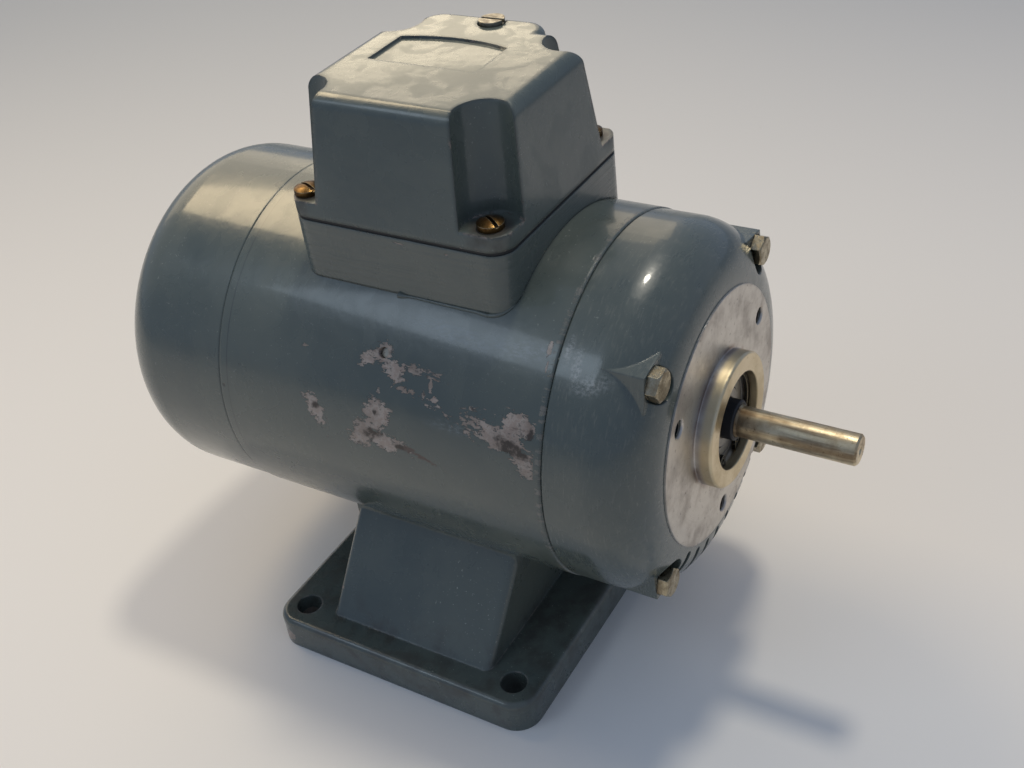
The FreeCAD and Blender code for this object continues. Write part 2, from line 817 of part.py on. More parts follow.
def shield_bolts():
    """Four hex bolts through the lugs into the housing bosses, each on a spring washer."""
    bolts, washers = [], []
    seat = front_seam + s.lug_seat
    under_head = seat + s.spring_washer_thickness
    grip = s.lug_seat + s.spring_washer_thickness + s.bolt_engagement
    for index, angle in enumerate(diagonal_angles()):
        number = index + 1
        spot = around_shaft(s.lug_bolt_circle, under_head, angle)
        head = prism("bolt_head_%d" % number, s.bolt_across_flats, s.bolt_head_height,
                     spot, X_WAY)
        shank = cylinder("bolt_shank_%d" % number, s.bolt_radius, grip + s.bolt_head_height,
                         along(spot, BACK_WAY, grip), X_WAY)
        bolts.append(fuse("shield_bolt_%d" % number, [head, shank]))
        spot = around_shaft(s.lug_bolt_circle, seat, angle)
        disc = cylinder("washer_disc_%d" % number, s.spring_washer_radius,
                        s.spring_washer_thickness, spot, X_WAY)
        hole = cylinder("washer_hole_%d" % number, s.bolt_radius + s.bolt_clearance,
                        s.spring_washer_thickness, spot, X_WAY)
        washers.append(cut("bolt_washer_%d" % number, disc, hole))
    keep(group("shield_bolt_set", bolts), "shield_bolts")
    keep(group("bolt_washer_set", washers), "bolt_spring_washers")


def rear_end_bracket():
    """Disc that closes the housing behind, with the rear bearing hub, air windows and the
    four pillars that carry the rear cover."""
    disc_radius = housing_bore - s.bracket_clearance
    hub_radius = bearing_seat_radius + s.bracket_hub_wall
    lip_front = rear_hub_end + s.bearing_lip
    body = turned_body("rear_bracket", [
        (bracket_front, bearing_seat_radius), (bracket_front, disc_radius),
        (bracket_rear, disc_radius), (bracket_rear, hub_radius), (rear_hub_end, hub_radius),
        (rear_hub_end, bearing_lip_radius), (lip_front, bearing_lip_radius),
        (lip_front, bearing_seat_radius)])
    sketch = sketch_on(body, "pillar", "YZ_Plane", bracket_rear)
    circle(sketch, *on_circle(s.pillar_circle, DIAGONAL), s.pillar_radius)
    polar(body, pad(body, sketch, bracket_rear - pillar_rear, True), DIAGONAL_COUNT)
    sketch = sketch_on(body, "pillar_bore", "YZ_Plane", pillar_rear)
    circle(sketch, *on_circle(s.pillar_circle, DIAGONAL), s.screw_radius + s.thread_clearance)
    polar(body, pocket(body, sketch, s.screw_engagement + s.cut_overrun, True),
          DIAGONAL_COUNT)
    sketch = sketch_on(body, "bracket_screw_hole", "YZ_Plane", bracket_front)
    circle(sketch, *on_circle(s.rear_boss_circle, DIAGONAL), s.screw_radius + s.bolt_clearance)
    polar(body, pocket(body, sketch, s.bracket_thickness, False), DIAGONAL_COUNT)
    sketch = sketch_on(body, "air_window", "YZ_Plane", bracket_front)
    circle(sketch, s.bracket_window_circle, ZERO, s.bracket_window_radius)
    polar(body, pocket(body, sketch, s.bracket_thickness, False), DIAGONAL_COUNT)
    keep(body, "rear_end_bracket")


def bracket_screws():
    screws = []
    for index, angle in enumerate(diagonal_angles()):
        spot = around_shaft(s.rear_boss_circle, bracket_rear, angle)
        screws.append(slotted_screw(
            "bracket_screw_%d" % (index + 1), spot, BACK_WAY, s.screw_radius,
            s.bracket_thickness + s.screw_engagement, s.screw_head_radius,
            s.screw_head_height))
    keep(group("bracket_screw_set", screws), "bracket_screws")


def rear_cover():
    """Deep round cover over the fan, with vents below and four screw recesses in its end."""
    inner_radius = shield_radius - s.cover_wall
    end_radius = shield_radius - s.cover_corner
    end_inside = cover_rear + s.cover_wall
    body = turned_body("cover_shell", [
        (end_inside, ZERO), (end_inside, end_radius), (cover_drum_end, inner_radius),
        (rear_seam, inner_radius), (rear_seam, shield_radius - s.seam_bevel),
        (rear_seam - s.seam_bevel, shield_radius), (cover_drum_end, shield_radius),
        (cover_rear, end_radius), (cover_rear, ZERO)],
        {1: (s.cover_corner - s.cover_wall, True), 6: (s.cover_corner, False)})
    sketch = sketch_on(body, "cover_boss", "YZ_Plane", end_inside)
    circle(sketch, *on_circle(s.pillar_circle, DIAGONAL), s.pillar_radius)
    polar(body, pad(body, sketch, s.cover_boss_length), DIAGONAL_COUNT)
    for name, radius, depth in (
            ("screw_recess", s.screw_head_radius + s.pocket_margin, s.cover_screw_recess),
            ("screw_hole", s.screw_radius + s.bolt_clearance,
             s.cover_wall + s.cover_boss_length)):
        sketch = sketch_on(body, name, "YZ_Plane", cover_rear)
        circle(sketch, *on_circle(s.pillar_circle, DIAGONAL), radius)
        polar(body, pocket(body, sketch, depth, True), DIAGONAL_COUNT)
    vents(body, "cover_vent", cover_rear, s.cover_corner, True)
    keep(body, "rear_cover")


def cover_end_screws():
    screws = []
    seat = cover_rear + s.cover_screw_recess
    grip = s.cover_wall + s.cover_boss_length - s.cover_screw_recess + s.screw_engagement
    for index, angle in enumerate(diagonal_angles()):
        spot = around_shaft(s.pillar_circle, seat, angle)
        screws.append(slotted_screw(
            "rear_cover_screw_%d" % (index + 1), spot, BACK_WAY, s.screw_radius, grip,
            s.screw_head_radius, s.screw_head_height))
    keep(group("rear_cover_screw_set", screws), "rear_cover_screws")


def rotor_shaft():
    """Stepped shaft, bevelled and centre-drilled at the drive end, grooved for the fan clip."""
    seat_start = core_rear - s.rotor_seat_margin
    seat_end = core_front + s.rotor_seat_margin
    journal = s.bearing_bore_radius - s.seat_clearance
    body_radius = s.shaft_body_radius
    bevel = s.shaft_end_bevel
    groove_radius = s.fan_seat_radius - s.fan_clip_groove
    body = turned_body("shaft", [
        (shaft_rear, ZERO), (shaft_rear, s.fan_seat_radius - bevel),
        (shaft_rear + bevel, s.fan_seat_radius), (clip_rear, s.fan_seat_radius),
        (clip_rear, groove_radius), (clip_front, groove_radius),
        (clip_front, s.fan_seat_radius), (fan_front, s.fan_seat_radius),
        (fan_front, journal), (rear_bearing_front, journal),
        (rear_bearing_front, body_radius), (seat_start, body_radius),
        (seat_start, s.rotor_seat_radius), (seat_end, s.rotor_seat_radius),
        (seat_end, body_radius), (front_bearing_back, body_radius),
        (front_bearing_back, journal), (front_bearing_front, journal),
        (front_bearing_front, collar_seat_radius), (collar_front, collar_seat_radius),
        (collar_front + s.collar_seat_taper, s.shaft_radius),
        (shaft_front - bevel, s.shaft_radius),
        (shaft_front, s.shaft_radius - bevel), (shaft_front, s.centre_drill_radius),
        (shaft_front - s.centre_drill_depth, ZERO)])
    keep(body, "rotor_shaft")


def rotor_core():
    keep(turned_body("rotor_stack", ring_section(
        core_rear, core_front, s.rotor_seat_radius + s.seat_clearance, rotor_radius)),
        "rotor_core")


def rotor_cage():
    """Cast end rings with short fan blades, one on each face of the rotor core."""
    rings = []
    outer = rotor_radius - s.end_ring_margin
    for name, face, way in (("front", core_front, True), ("rear", core_rear, False)):
        far = face + s.end_ring_length if way else face - s.end_ring_length
        body = turned_body(name + "_end_ring",
                           ring_section(face, far, s.end_ring_inner_radius, outer))
        sketch = sketch_on(body, name + "_blade", "YZ_Plane", far)
        half = s.blade_thickness / 2.0
        outline(sketch, [
            (s.end_ring_inner_radius + s.blade_inset, -half), (outer - s.blade_inset, -half),
            (outer - s.blade_inset, half), (s.end_ring_inner_radius + s.blade_inset, half)])
        polar(body, pad(body, sketch, s.blade_height, not way), ROTOR_BLADE_COUNT)
        rings.append(body)
    keep(group("cage", rings), "rotor_cage")


def stator_core():
    keep(turned_body("stator_stack", ring_section(
        core_rear, core_front, s.stator_bore_radius, housing_bore - s.seat_clearance)),
        "stator_core")


def stator_windings():
    """Taped end turns, a rounded ring on each face of the stator core."""
    rings = []
    inner, outer, r = s.winding_inner_radius, s.winding_outer_radius, s.winding_corner
    for name, face, far, back in (
            ("front", core_front, core_front + s.winding_length,
             core_front + s.winding_length - s.winding_corner),
            ("rear", core_rear, core_rear - s.winding_length,
             core_rear - s.winding_length + s.winding_corner)):
        left = name == "rear"
        rings.append(turned_body(name + "_end_turns", [
            (face, inner), (back, inner), (far, inner + r), (far, outer - r),
            (back, outer), (face, outer)], {1: (r, left), 3: (r, left)}))
    keep(group("end_turns", rings), "stator_windings")


def bearings():
    """Two shielded deep-groove ball bearings: rings, ball cages and side shields."""
    middle_radius = (s.bearing_bore_radius + s.bearing_outer_radius) / 2.0
    inner_shoulder = s.bearing_bore_radius + s.inner_ring_wall
    outer_shoulder = s.bearing_outer_radius - s.outer_ring_wall
    ball_radius = s.race_radius - s.race_clearance
    outer_rings, inner_rings, cages, shields = [], [], [], []
    for name, back in (("front", front_bearing_back), ("rear", rear_bearing_back)):
        front = back + s.bearing_width
        middle = back + s.bearing_width / 2.0
        centre = (middle, ZERO, s.shaft_height)
        for kind, low, high, kept in (
                ("outer_ring", outer_shoulder, s.bearing_outer_radius, outer_rings),
                ("inner_ring", s.bearing_bore_radius, inner_shoulder, inner_rings)):
            ring = turned_body("%s_%s" % (name, kind), ring_section(back, front, low, high))
            groove = doc.addObject("Part::Torus", "%s_%s_race" % (name, kind))
            place(groove, centre, X_WAY)
            bind(groove, "Radius1", middle_radius)
            bind(groove, "Radius2", s.race_radius)
            kept.append(cut("%s_raced_%s" % (name, kind), ring, groove))
        cage = turned_body(name + "_cage_ring", ring_section(
            middle - s.cage_half_width, middle + s.cage_half_width,
            middle_radius - s.cage_half_height, middle_radius + s.cage_half_height))
        balls = []
        for count in range(BALL_COUNT):
            angle = FULL_TURN * count / BALL_COUNT
            ball = doc.addObject("Part::Sphere", "%s_ball_%d" % (name, count + 1))
            place(ball, around_shaft(middle_radius, middle, angle))
            bind(ball, "Radius", ball_radius)
            balls.append(ball)
        cages.append(fuse(name + "_cage", [cage] + balls))
        inset = s.bearing_shield_inset
        for side, face in (("a", front - inset - s.bearing_shield_thickness),
                           ("b", back + inset)):
            shields.append(turned_body("%s_shield_%s" % (name, side), ring_section(
                face, face + s.bearing_shield_thickness,
                inner_shoulder + s.bearing_shield_gap,
                outer_shoulder - s.seat_clearance)))
    keep(group("outer_ring_pair", outer_rings), "bearing_outer_rings")
    keep(group("inner_ring_pair", inner_rings), "bearing_inner_rings")
    keep(group("cage_pair", cages), "bearing_ball_cages")
    keep(group("shield_set", shields), "bearing_side_shields")


def retaining_ring():
    """Open spring ring in the groove before the front bearing, with two eared ends."""
    back = front_bearing_front + s.retaining_clearance
    outer = bearing_seat_radius + s.retaining_groove_depth - s.seat_clearance
    inner = outer - s.retaining_ring_height
    ring = turned_body("ring_blank", ring_section(
        back, back + s.retaining_ring_thickness, inner, outer))
    ear_circle = inner + s.retaining_clearance
    ear_reach = s.retaining_gap / 2.0 + s.retaining_ear_radius
    ears, holes = [], []
    for name, side in (("left", -1.0), ("right", 1.0)):
        spot = (back, ear_reach * side, s.shaft_height - ear_circle + s.retaining_ear_radius)
        ears.append(cylinder(name + "_ear", s.retaining_ear_radius,
                             s.retaining_ring_thickness, spot, X_WAY))
        holes.append(cylinder(name + "_ear_hole", s.retaining_ear_hole_radius,
                              s.retaining_ring_thickness, spot, X_WAY))
    gap_size = (s.retaining_gap, s.retaining_gap, outer)
    gap_spot = (back, ZERO, s.shaft_height)
    gap = box("ring_gap", gap_size, gap_spot, DOWN_WAY)
    eared = fuse("eared_ring", [ring] + ears)
    keep(cut("retaining", eared, group("ring_openings", [gap] + holes)), "bearing_retaining_ring")


def wave_washer():
    back = rear_hub_end + s.bearing_lip
    outer = s.bearing_outer_radius - s.seat_clearance
    keep(turned_body("preload_washer", ring_section(
        back, rear_bearing_back, outer - s.wave_washer_wall, outer)), "bearing_preload_washer")


def shaft_collar():
    """Dark bush on the shaft between the bearing and the spigot's face."""
    inner = collar_seat_radius + s.seat_clearance
    outer = inner + s.collar_wall
    keep(turned_body("collar", [
        (front_bearing_front, inner), (collar_front, inner),
        (collar_front, outer - s.collar_bevel), (collar_front - s.collar_bevel, outer),
        (front_bearing_front, outer)]), "shaft_collar")


def cooling_fan():
    """Hub, back plate and leaning blades, held on the shaft by a clip."""
    bore = s.fan_seat_radius + s.seat_clearance
    plate_back = fan_front - s.fan_plate_thickness
    body = turned_body("fan", [
        (fan_front, bore), (fan_front, s.fan_radius), (plate_back, s.fan_radius),
        (plate_back, s.fan_hub_radius), (fan_rear, s.fan_hub_radius), (fan_rear, bore)])
    sketch = sketch_on(body, "fan_blade", "YZ_Plane", plate_back, FAN_BLADE_LEAN)
    half = s.fan_blade_thickness / 2.0
    start = s.fan_hub_radius - s.fan_blade_root
    outline(sketch, [(start, -half), (s.fan_radius - s.fan_blade_root, -half),
                     (s.fan_radius - s.fan_blade_root, half), (start, half)])
    polar(body, pad(body, sketch, s.fan_hub_length - s.fan_plate_thickness * 2.0, True),
          FAN_BLADE_COUNT)
    keep(body, "cooling_fan")
    inner = s.fan_seat_radius - s.fan_clip_groove + s.retaining_clearance
    clip = turned_body("clip_blank", ring_section(
        clip_rear + s.retaining_clearance, clip_front - s.retaining_clearance,
        inner, inner + s.fan_clip_height))
    mouth = box("clip_mouth", (s.fan_clip_height * 2.0, s.fan_seat_radius,
                               inner + s.fan_clip_height),
                ((clip_rear + clip_front) / 2.0, ZERO, s.shaft_height))
    keep(cut("clip", clip, mouth), "fan_clip")


def lock_screws():
    """Headless screws through the housing wall that lock the stator core."""
    depth = s.housing_wall + s.seat_clearance - s.lock_screw_recess
    start = housing_bore - s.seat_clearance
    keep(group("lock_screw_pair", lock_tools(
        "lock_screw", s.lock_screw_radius, start, depth)), "core_lock_screws")


def terminal_box_base():
    """Open casting that sits on the housing like a saddle, thick at its corners for the
    cover's screws, with an earth boss, two pillars and a threaded cable entry."""
    body = new_body("box_block", s.shaft_height, s.box_centre)
    height = s.box_seam_height - s.shaft_height
    sketch = sketch_on(body, "box_outline", "XY_Plane")
    rounded_rectangle(sketch, s.box_length / 2.0, s.box_width / 2.0, s.box_corner)
    pad(body, sketch, height)
    well = new_body("box_well", s.shaft_height, s.box_centre)
    sketch = sketch_on(well, "well_outline", "XY_Plane")
    rounded_rectangle(sketch, s.box_length / 2.0 - s.box_wall, s.box_width / 2.0 - s.box_wall,
                      s.box_inner_corner)
    pad(well, sketch, height + s.cut_overrun)
    start = (s.box_centre - s.box_length, ZERO, s.shaft_height)
    bed = cylinder("box_bed", s.housing_radius + s.seat_clearance, s.box_length * 2.0,
                   start, X_WAY)
    floor = cylinder("box_floor", box_floor_radius, s.box_length * 2.0, start, X_WAY)
    shell = cut("box_shell", cut("box_saddle", body, bed), cut("box_hollow", well, floor))
    pillars, bores = [], []
    pillar_root = s.shaft_height + s.housing_radius + s.box_wall / 2.0
    for name, side in (("left", -HALF_SHARE), ("right", HALF_SHARE)):
        x = s.box_centre + s.board_pillar_spacing * side
        pillars.append(cylinder(name + "_pillar", s.board_pillar_radius,
                                board_bottom - pillar_root, (x, ZERO, pillar_root)))
        bores.append(cylinder(name + "_pillar_bore", s.board_screw_radius + s.thread_clearance,
                              s.board_lift + s.cut_overrun,
                              (x, ZERO, board_bottom - s.board_lift)))
    earth = earth_spot()
    boss_depth = s.earth_boss_lift + s.box_wall / 2.0
    pillars.append(cylinder("earth_boss", s.earth_boss_radius, boss_depth,
                            along(earth, DOWN_WAY, boss_depth)))
    bores.append(cylinder("earth_bore", s.screw_radius + s.thread_clearance,
                          s.screw_engagement + s.cut_overrun,
                          along(earth, DOWN_WAY, s.screw_engagement)))
    for x, y in lid_screw_spots():
        bores.append(cylinder("lid_bore_%d" % (len(bores) - 2),
                              s.screw_radius + s.thread_clearance,
                              s.screw_engagement + s.cut_overrun * 2.0,
                              (x, y, s.box_seam_height - s.screw_engagement - s.cut_overrun)))
    for name, side in (("left", -HALF_SHARE), ("right", HALF_SHARE)):
        x = s.box_centre + s.base_screw_spacing * side
        bores.append(cylinder(name + "_base_bore", s.screw_radius + s.bolt_clearance,
                              s.box_wall + s.cut_overrun * 2.0,
                              (x, ZERO, s.shaft_height + s.housing_radius - s.cut_overrun)))
    bores.append(cylinder("lead_way", s.lead_hole_radius, s.box_wall + s.cut_overrun * 2.0,
                          (lead_hole_x, ZERO,
                           s.shaft_height + s.housing_radius - s.cut_overrun)))
    wall_inside = s.box_width / 2.0 - s.box_wall - s.cut_overrun
    bores.append(cylinder("cable_entry", s.entry_radius + s.thread_clearance,
                          s.box_wall + s.cut_overrun * 2.0,
                          (s.box_centre, wall_inside, entry_height()), Y_WAY))
    keep(cut("box_casting", fuse("box_with_bosses", [shell] + pillars),
             group("box_bores", bores)), "terminal_box_base")


def entry_height():
    """Midway between the drum under the wall's inner face and the seam of the box."""
    reach = (s.box_width / 2.0 - s.box_wall).value
    drum_rise = math.sqrt(s.housing_radius.value ** 2 - reach ** 2)
    rise = s.housing_radius * (drum_rise / s.housing_radius.value)
    return (s.shaft_height + rise + s.box_seam_height) / 2.0


def earth_spot():
    """The top of the earth boss on the saddle floor."""
    y = -s.earth_reach
    floor_rise = math.sqrt(box_floor_radius.value ** 2 - s.earth_reach.value ** 2)
    rise = box_floor_radius * (floor_rise / box_floor_radius.value)
    return s.box_centre - s.earth_offset, y, s.shaft_height + rise + s.earth_boss_lift


def lid_screw_spots():
    middle = s.box_centre + s.lid_screw_shift
    return [(middle + lid_screw_half_length * x, lid_screw_half_width * y)
            for x, y in CORNER_SIDES]


def terminal_box_gasket():
    body = new_body("gasket", s.box_seam_height, s.box_centre)
    sketch = sketch_on(body, "gasket_outline", "XY_Plane")
    inset = s.gasket_inset
    rounded_rectangle(sketch, s.box_length / 2.0 - inset, s.box_width / 2.0 - inset,
                      s.box_corner - inset)
    rounded_rectangle(sketch, s.box_length / 2.0 - s.box_wall, s.box_width / 2.0 - s.box_wall,
                      s.box_inner_corner)
    for x, y in CORNER_SIDES:
        circle(sketch, s.lid_screw_shift + lid_screw_half_length * x,
               lid_screw_half_width * y, s.screw_radius + s.bolt_clearance)
    pad(body, sketch, s.gasket_thickness)
    keep(body, "terminal_box_gasket")


def lid_hollow(name, extra, start):
    """Leaning round cuts by the four lid screws, widened by the extra, from a level up."""
    tools = []
    above = lid_top + s.cut_overrun
    for index, ((x, y), (end, side)) in enumerate(zip(lid_screw_spots(), CORNER_SIDES)):
        low = (x + s.scallop_outset * end, y + s.scallop_outset * side, start)
        high = (low[0] - s.scallop_end_lean * end, low[1] - s.scallop_side_lean * side, above)
        tools.append(leaning_cone("%s_%d" % (name, index + 1), low, high,
                                  s.scallop_bottom_radius + extra,
                                  s.scallop_top_radius + extra))
    return tools


def lid_slab(name, role, length, half_foot, half_crown):
    """A slab as long as the cover one way, leaning and rounded on top the other way."""
    body = new_body(name, gasket_top, s.box_centre)
    sketch = sketch_on(body, name + "_section", role, -length / 2.0)
    outline(sketch, [(-half_foot, ZERO), (half_foot, ZERO), (half_crown, s.lid_height),
                     (-half_crown, s.lid_height)])
    block = pad(body, sketch, length)
    top = s.lid_height.value

    def at_long_rim(edge):
        box = edge.BoundBox
        return box.ZMin > top - 1e-3 and min(box.XLength, box.YLength) < 1e-3 and (
            box.YLength < box.XLength) == (role == "YZ_Plane")

    body.Tip = dress(body, "Fillet", block, edges_where(block, at_long_rim),
                     s.lid_edge_fillet)
    return body


def terminal_box_cover():
    """Deep drafted cover, rounded on top, scalloped at the corners for its screws, with a
    lobe for one more screw behind and a bare sunk panel on top."""
    half_length, half_width = s.box_length / 2.0, s.box_width / 2.0
    column = new_body("lid_column", gasket_top, s.box_centre)
    sketch = sketch_on(column, "lid_outline", "XY_Plane")
    rounded_rectangle(sketch, half_length, half_width, s.box_corner)
    pad(column, sketch, s.lid_height)
    slabs = [lid_slab("lid_across", "YZ_Plane", s.box_length, half_width,
                      half_width - s.lid_side_lean),
             lid_slab("lid_along", "XZ_Plane", s.box_width, half_length,
                      half_length - s.lid_end_lean)]
    body = doc.addObject("Part::MultiCommon", "lid_body")
    body.Shapes = [column] + slabs
    lobe = new_body("lid_lobe", lid_top - s.lobe_depth, s.box_centre + s.lobe_offset)
    sketch = sketch_on(lobe, "lobe_outline", "XY_Plane")
    reach, r = lobe_reach, s.lobe_corner
    half = s.lobe_half_length
    outline(sketch, [(-half, ZERO), (half, ZERO), (half, reach - r), (half - r, reach),
                     (r - half, reach), (-half, reach - r)],
            {2: (r, False), 4: (r, False)})
    block = pad(lobe, sketch, s.lobe_depth)
    lobe_top = s.lobe_depth.value
    behind = s.lid_edge_fillet.value

    def at_lobe_rim(edge):
        return edge.BoundBox.ZMin > lobe_top - 1e-3 and edge.BoundBox.YMax > behind

    lobe.Tip = dress(lobe, "Fillet", block, edges_where(block, at_lobe_rim), s.lobe_fillet)
    panel = new_body("lid_panel", lid_top - s.panel_depth, s.box_centre + s.panel_offset)
    sketch = sketch_on(panel, "panel_outline", "XY_Plane")
    half = s.panel_half_length
    outline(sketch, [(-half, -s.panel_near), (half, -s.panel_near), (half, s.panel_far),
                     (-half, s.panel_far)], {2: (s.panel_crown_radius, False)})
    pad(panel, sketch, s.cut_overrun)
    well = new_body("lid_well", gasket_top, s.box_centre)
    half_length, half_width = half_length - s.box_wall, half_width - s.box_wall
    loft_pad(well, "lid_inside", s.lid_height - s.lid_wall,
             (half_length, half_width, s.box_inner_corner),
             (half_length - s.lid_end_lean, half_width - s.lid_side_lean,
              s.box_inner_corner))
    core = cut("lid_core", well, group("lid_corner_walls", lid_hollow(
        "corner_wall", s.lid_wall, lid_ledge - s.lid_wall)))
    bores = []
    for index, (x, y) in enumerate(lid_screw_spots()):
        bores.append(cylinder("lid_screw_hole_%d" % (index + 1),
                              s.screw_radius + s.bolt_clearance,
                              s.lid_flange_height + s.cut_overrun * 2.0,
                              (x, y, gasket_top - s.cut_overrun)))
    seat = lobe_screw_spot()
    bores.append(cylinder("lobe_bore", s.screw_radius + s.thread_clearance,
                          s.screw_engagement + s.cut_overrun * 2.0,
                          along(seat, DOWN_WAY, s.screw_engagement + s.cut_overrun)))
    bores.append(cylinder("lobe_sink", s.screw_head_radius + s.lobe_screw_gap,
                          s.lobe_screw_sink + s.cut_overrun, seat))
    blank = fuse("lid_blank", [body, lobe])
    tools = [core, panel] + bores + lid_hollow("scallop", ZERO, lid_ledge)
    lid = blank
    for index, tool in enumerate(tools):
        lid = cut("lid_cut_%d" % (index + 1), lid, tool)
    keep(lid, "terminal_box_cover")


def lobe_screw_spot():
    return (s.box_centre + s.lobe_screw_offset, lobe_reach - s.lobe_screw_margin,
            lid_top - s.lobe_screw_sink)


def box_screws():
    """Slotted brass screws at the cover's corners and the one on its rear lobe."""
    grip = s.lid_flange_height + s.gasket_thickness + s.screw_engagement
    screws = [slotted_screw("cover_screw_%d" % (index + 1), (x, y, lid_ledge), Z_WAY,
                            s.screw_radius, grip, s.screw_head_radius, s.screw_head_height)
              for index, (x, y) in enumerate(lid_screw_spots())]
    keep(group("cover_screw_set", screws), "terminal_cover_screws")
    keep(slotted_screw("lobe_screw", lobe_screw_spot(), Z_WAY, s.screw_radius,
                       s.screw_engagement, s.screw_head_radius, s.screw_head_height),
         "cover_top_screw")
    seats = [(s.box_centre + s.base_screw_spacing * side, ZERO,
              s.shaft_height + box_floor_radius) for side in (-HALF_SHARE, HALF_SHARE)]
    screws = [slotted_screw("base_screw_%d" % (index + 1), seat, Z_WAY, s.screw_radius,
                            s.box_wall + s.base_screw_depth, s.screw_head_radius,
                            s.screw_head_height) for index, seat in enumerate(seats)]
    keep(group("base_screw_set", screws), "box_base_screws")
    keep(slotted_screw("earth", earth_spot(), Z_WAY, s.screw_radius, s.screw_engagement,
                       s.screw_head_radius, s.screw_head_height), "earth_screw")


def stud_spots():
    return [(s.box_centre + s.stud_spacing * column, s.stud_row_spacing * row)
            for column in (1.0, 0.0, -1.0) for row in (-HALF_SHARE, HALF_SHARE)]


def terminal_board():
    """Moulded board with six studs in two rows, nuts, three links and two screws."""
    board = box("board_block", (s.board_length, s.board_width, s.board_thickness),
                (s.box_centre, ZERO, board_bottom))
    holes, studs, nuts, links, screws = [], [], [], [], []
    for index, (x, y) in enumerate(stud_spots()):
        number = index + 1
        holes.append(cylinder("board_hole_%d" % number, s.stud_radius + s.thread_clearance,
                              s.board_thickness, (x, y, board_bottom)))
        studs.append(cylinder("stud_%d" % number, s.stud_radius,
                              s.stud_tail + s.board_thickness + s.stud_proud,
                              (x, y, board_bottom - s.stud_tail)))
        spot = (x, y, board_top + s.link_thickness)
        nuts.append(cut("stud_nut_%d" % number,
                        prism("nut_blank_%d" % number, s.nut_across_flats, s.nut_height, spot),
                        cylinder("nut_bore_%d" % number, s.stud_radius + s.thread_clearance,
                                 s.nut_height, spot)))
    half_row = s.stud_row_spacing / 2.0
    for column in (-1.0, 0.0, 1.0):
        link = new_body("link_%d" % (column + 2), board_top,
                        s.box_centre + s.stud_spacing * column)
        sketch = sketch_on(link, "link_outline_%d" % (column + 2), "XY_Plane", ZERO, QUARTER)
        slot(sketch, -half_row, half_row, s.link_half_width)
        for x in (-half_row, half_row):
            circle(sketch, x, ZERO, s.stud_radius + s.thread_clearance)
        pad(link, sketch, s.link_thickness)
        links.append(link)
    for name, side in (("left", -HALF_SHARE), ("right", HALF_SHARE)):
        spot = (s.box_centre + s.board_pillar_spacing * side, ZERO, board_bottom)
        holes.append(cylinder(name + "_board_hole", s.board_screw_radius + s.bolt_clearance,
                              s.board_thickness, spot))
        seat = along(spot, Z_WAY, s.board_thickness)
        screws.append(slotted_screw(
            name + "_board_screw", seat, Z_WAY, s.board_screw_radius,
            s.board_thickness + s.screw_engagement, s.board_screw_head_radius,
            s.board_screw_head_height))
    keep(cut("board", board, group("board_holes", holes)), "terminal_board")
    keep(group("stud_set", studs), "terminal_studs")
    keep(group("nut_set", nuts), "terminal_nuts")
    keep(group("link_set", links), "terminal_links")
    keep(group("board_screw_set", screws), "terminal_board_screws")


def winding_leads():
    """Six leads from the front end turns through the housing to the studs, each one up,
    along under the board and up again. The nearer the stud, the higher the run."""
    leads = []
    radius, bend = s.lead_radius.value, s.lead_bend.value
    start_z = (s.shaft_height + s.winding_outer_radius + s.seat_clearance).value
    end_z = board_bottom.value - s.stud_tail.value
    for index, (stud_x, stud_y) in enumerate(stud_spots()):
        order = index // 2
        side = math.copysign(1.0, stud_y.value)
        x = lead_hole_x.value - (order - 1) * s.lead_pitch.value
        y = side * s.lead_start_reach.value
        level = end_z - bend - order * (s.lead_pitch.value)
        points = [FreeCAD.Vector(x, y, start_z), FreeCAD.Vector(x, y, level),
                  FreeCAD.Vector(stud_x.value, stud_y.value, level),
                  FreeCAD.Vector(stud_x.value, stud_y.value, end_z)]
        edges = []
        here = points[0]
        for corner, after in zip(points[1:-1], points[2:]):
            into = (corner - here).normalize()
            out = (after - corner).normalize()
            start, end = corner - into * bend, corner + out * bend
            inward = (out - into).normalize()
            centre = start + (out - into * into.dot(out)).normalize() * bend
            edges.append(Part.makeLine(here, start))
            edges.append(Part.Arc(start, centre - inward * bend, end).toShape())
            here = end
        if (points[-1] - here).Length > 1e-6:
            edges.append(Part.makeLine(here, points[-1]))
        ring = Part.Wire(Part.makeCircle(radius, points[0], FreeCAD.Vector(*Z_WAY)))
        leads.append(Part.Wire(edges).makePipeShell([ring], True, False))
    item = doc.addObject("Part::Feature", "leads")
    item.Shape = Part.makeCompound(leads)
    keep(item, "winding_leads")


def cable_gland():
    """Gland threaded into the box base: hexagon, round nose and a seal that stays whole
    until a cable is fitted."""
    wall_outside = s.box_width / 2.0
    wall_inside = wall_outside - s.box_wall
    centre = (s.box_centre, wall_outside, entry_height())
    hexagon = prism("gland_hexagon", s.gland_across_flats, s.gland_flange_length, centre, Y_WAY)
    nose = cylinder("gland_nose", s.gland_body_radius,
                    s.gland_flange_length + s.gland_body_length, centre, Y_WAY)
    inner_end = (s.box_centre, wall_inside, entry_height())
    thread = cylinder("gland_thread", s.entry_radius, s.box_wall, inner_end, Y_WAY)
    reach = s.box_wall + s.gland_flange_length + s.gland_body_length
    bore = cylinder("gland_bore", s.gland_seal_radius + s.seat_clearance, reach, inner_end,
                    Y_WAY)
    keep(cut("gland", fuse("gland_blank", [hexagon, nose, thread]), bore), "cable_gland")
    keep(cylinder("seal", s.gland_seal_radius, reach - s.gland_seal_recess * 2.0,
                  along(inner_end, Y_WAY, s.gland_seal_recess), Y_WAY), "cable_gland_seal")


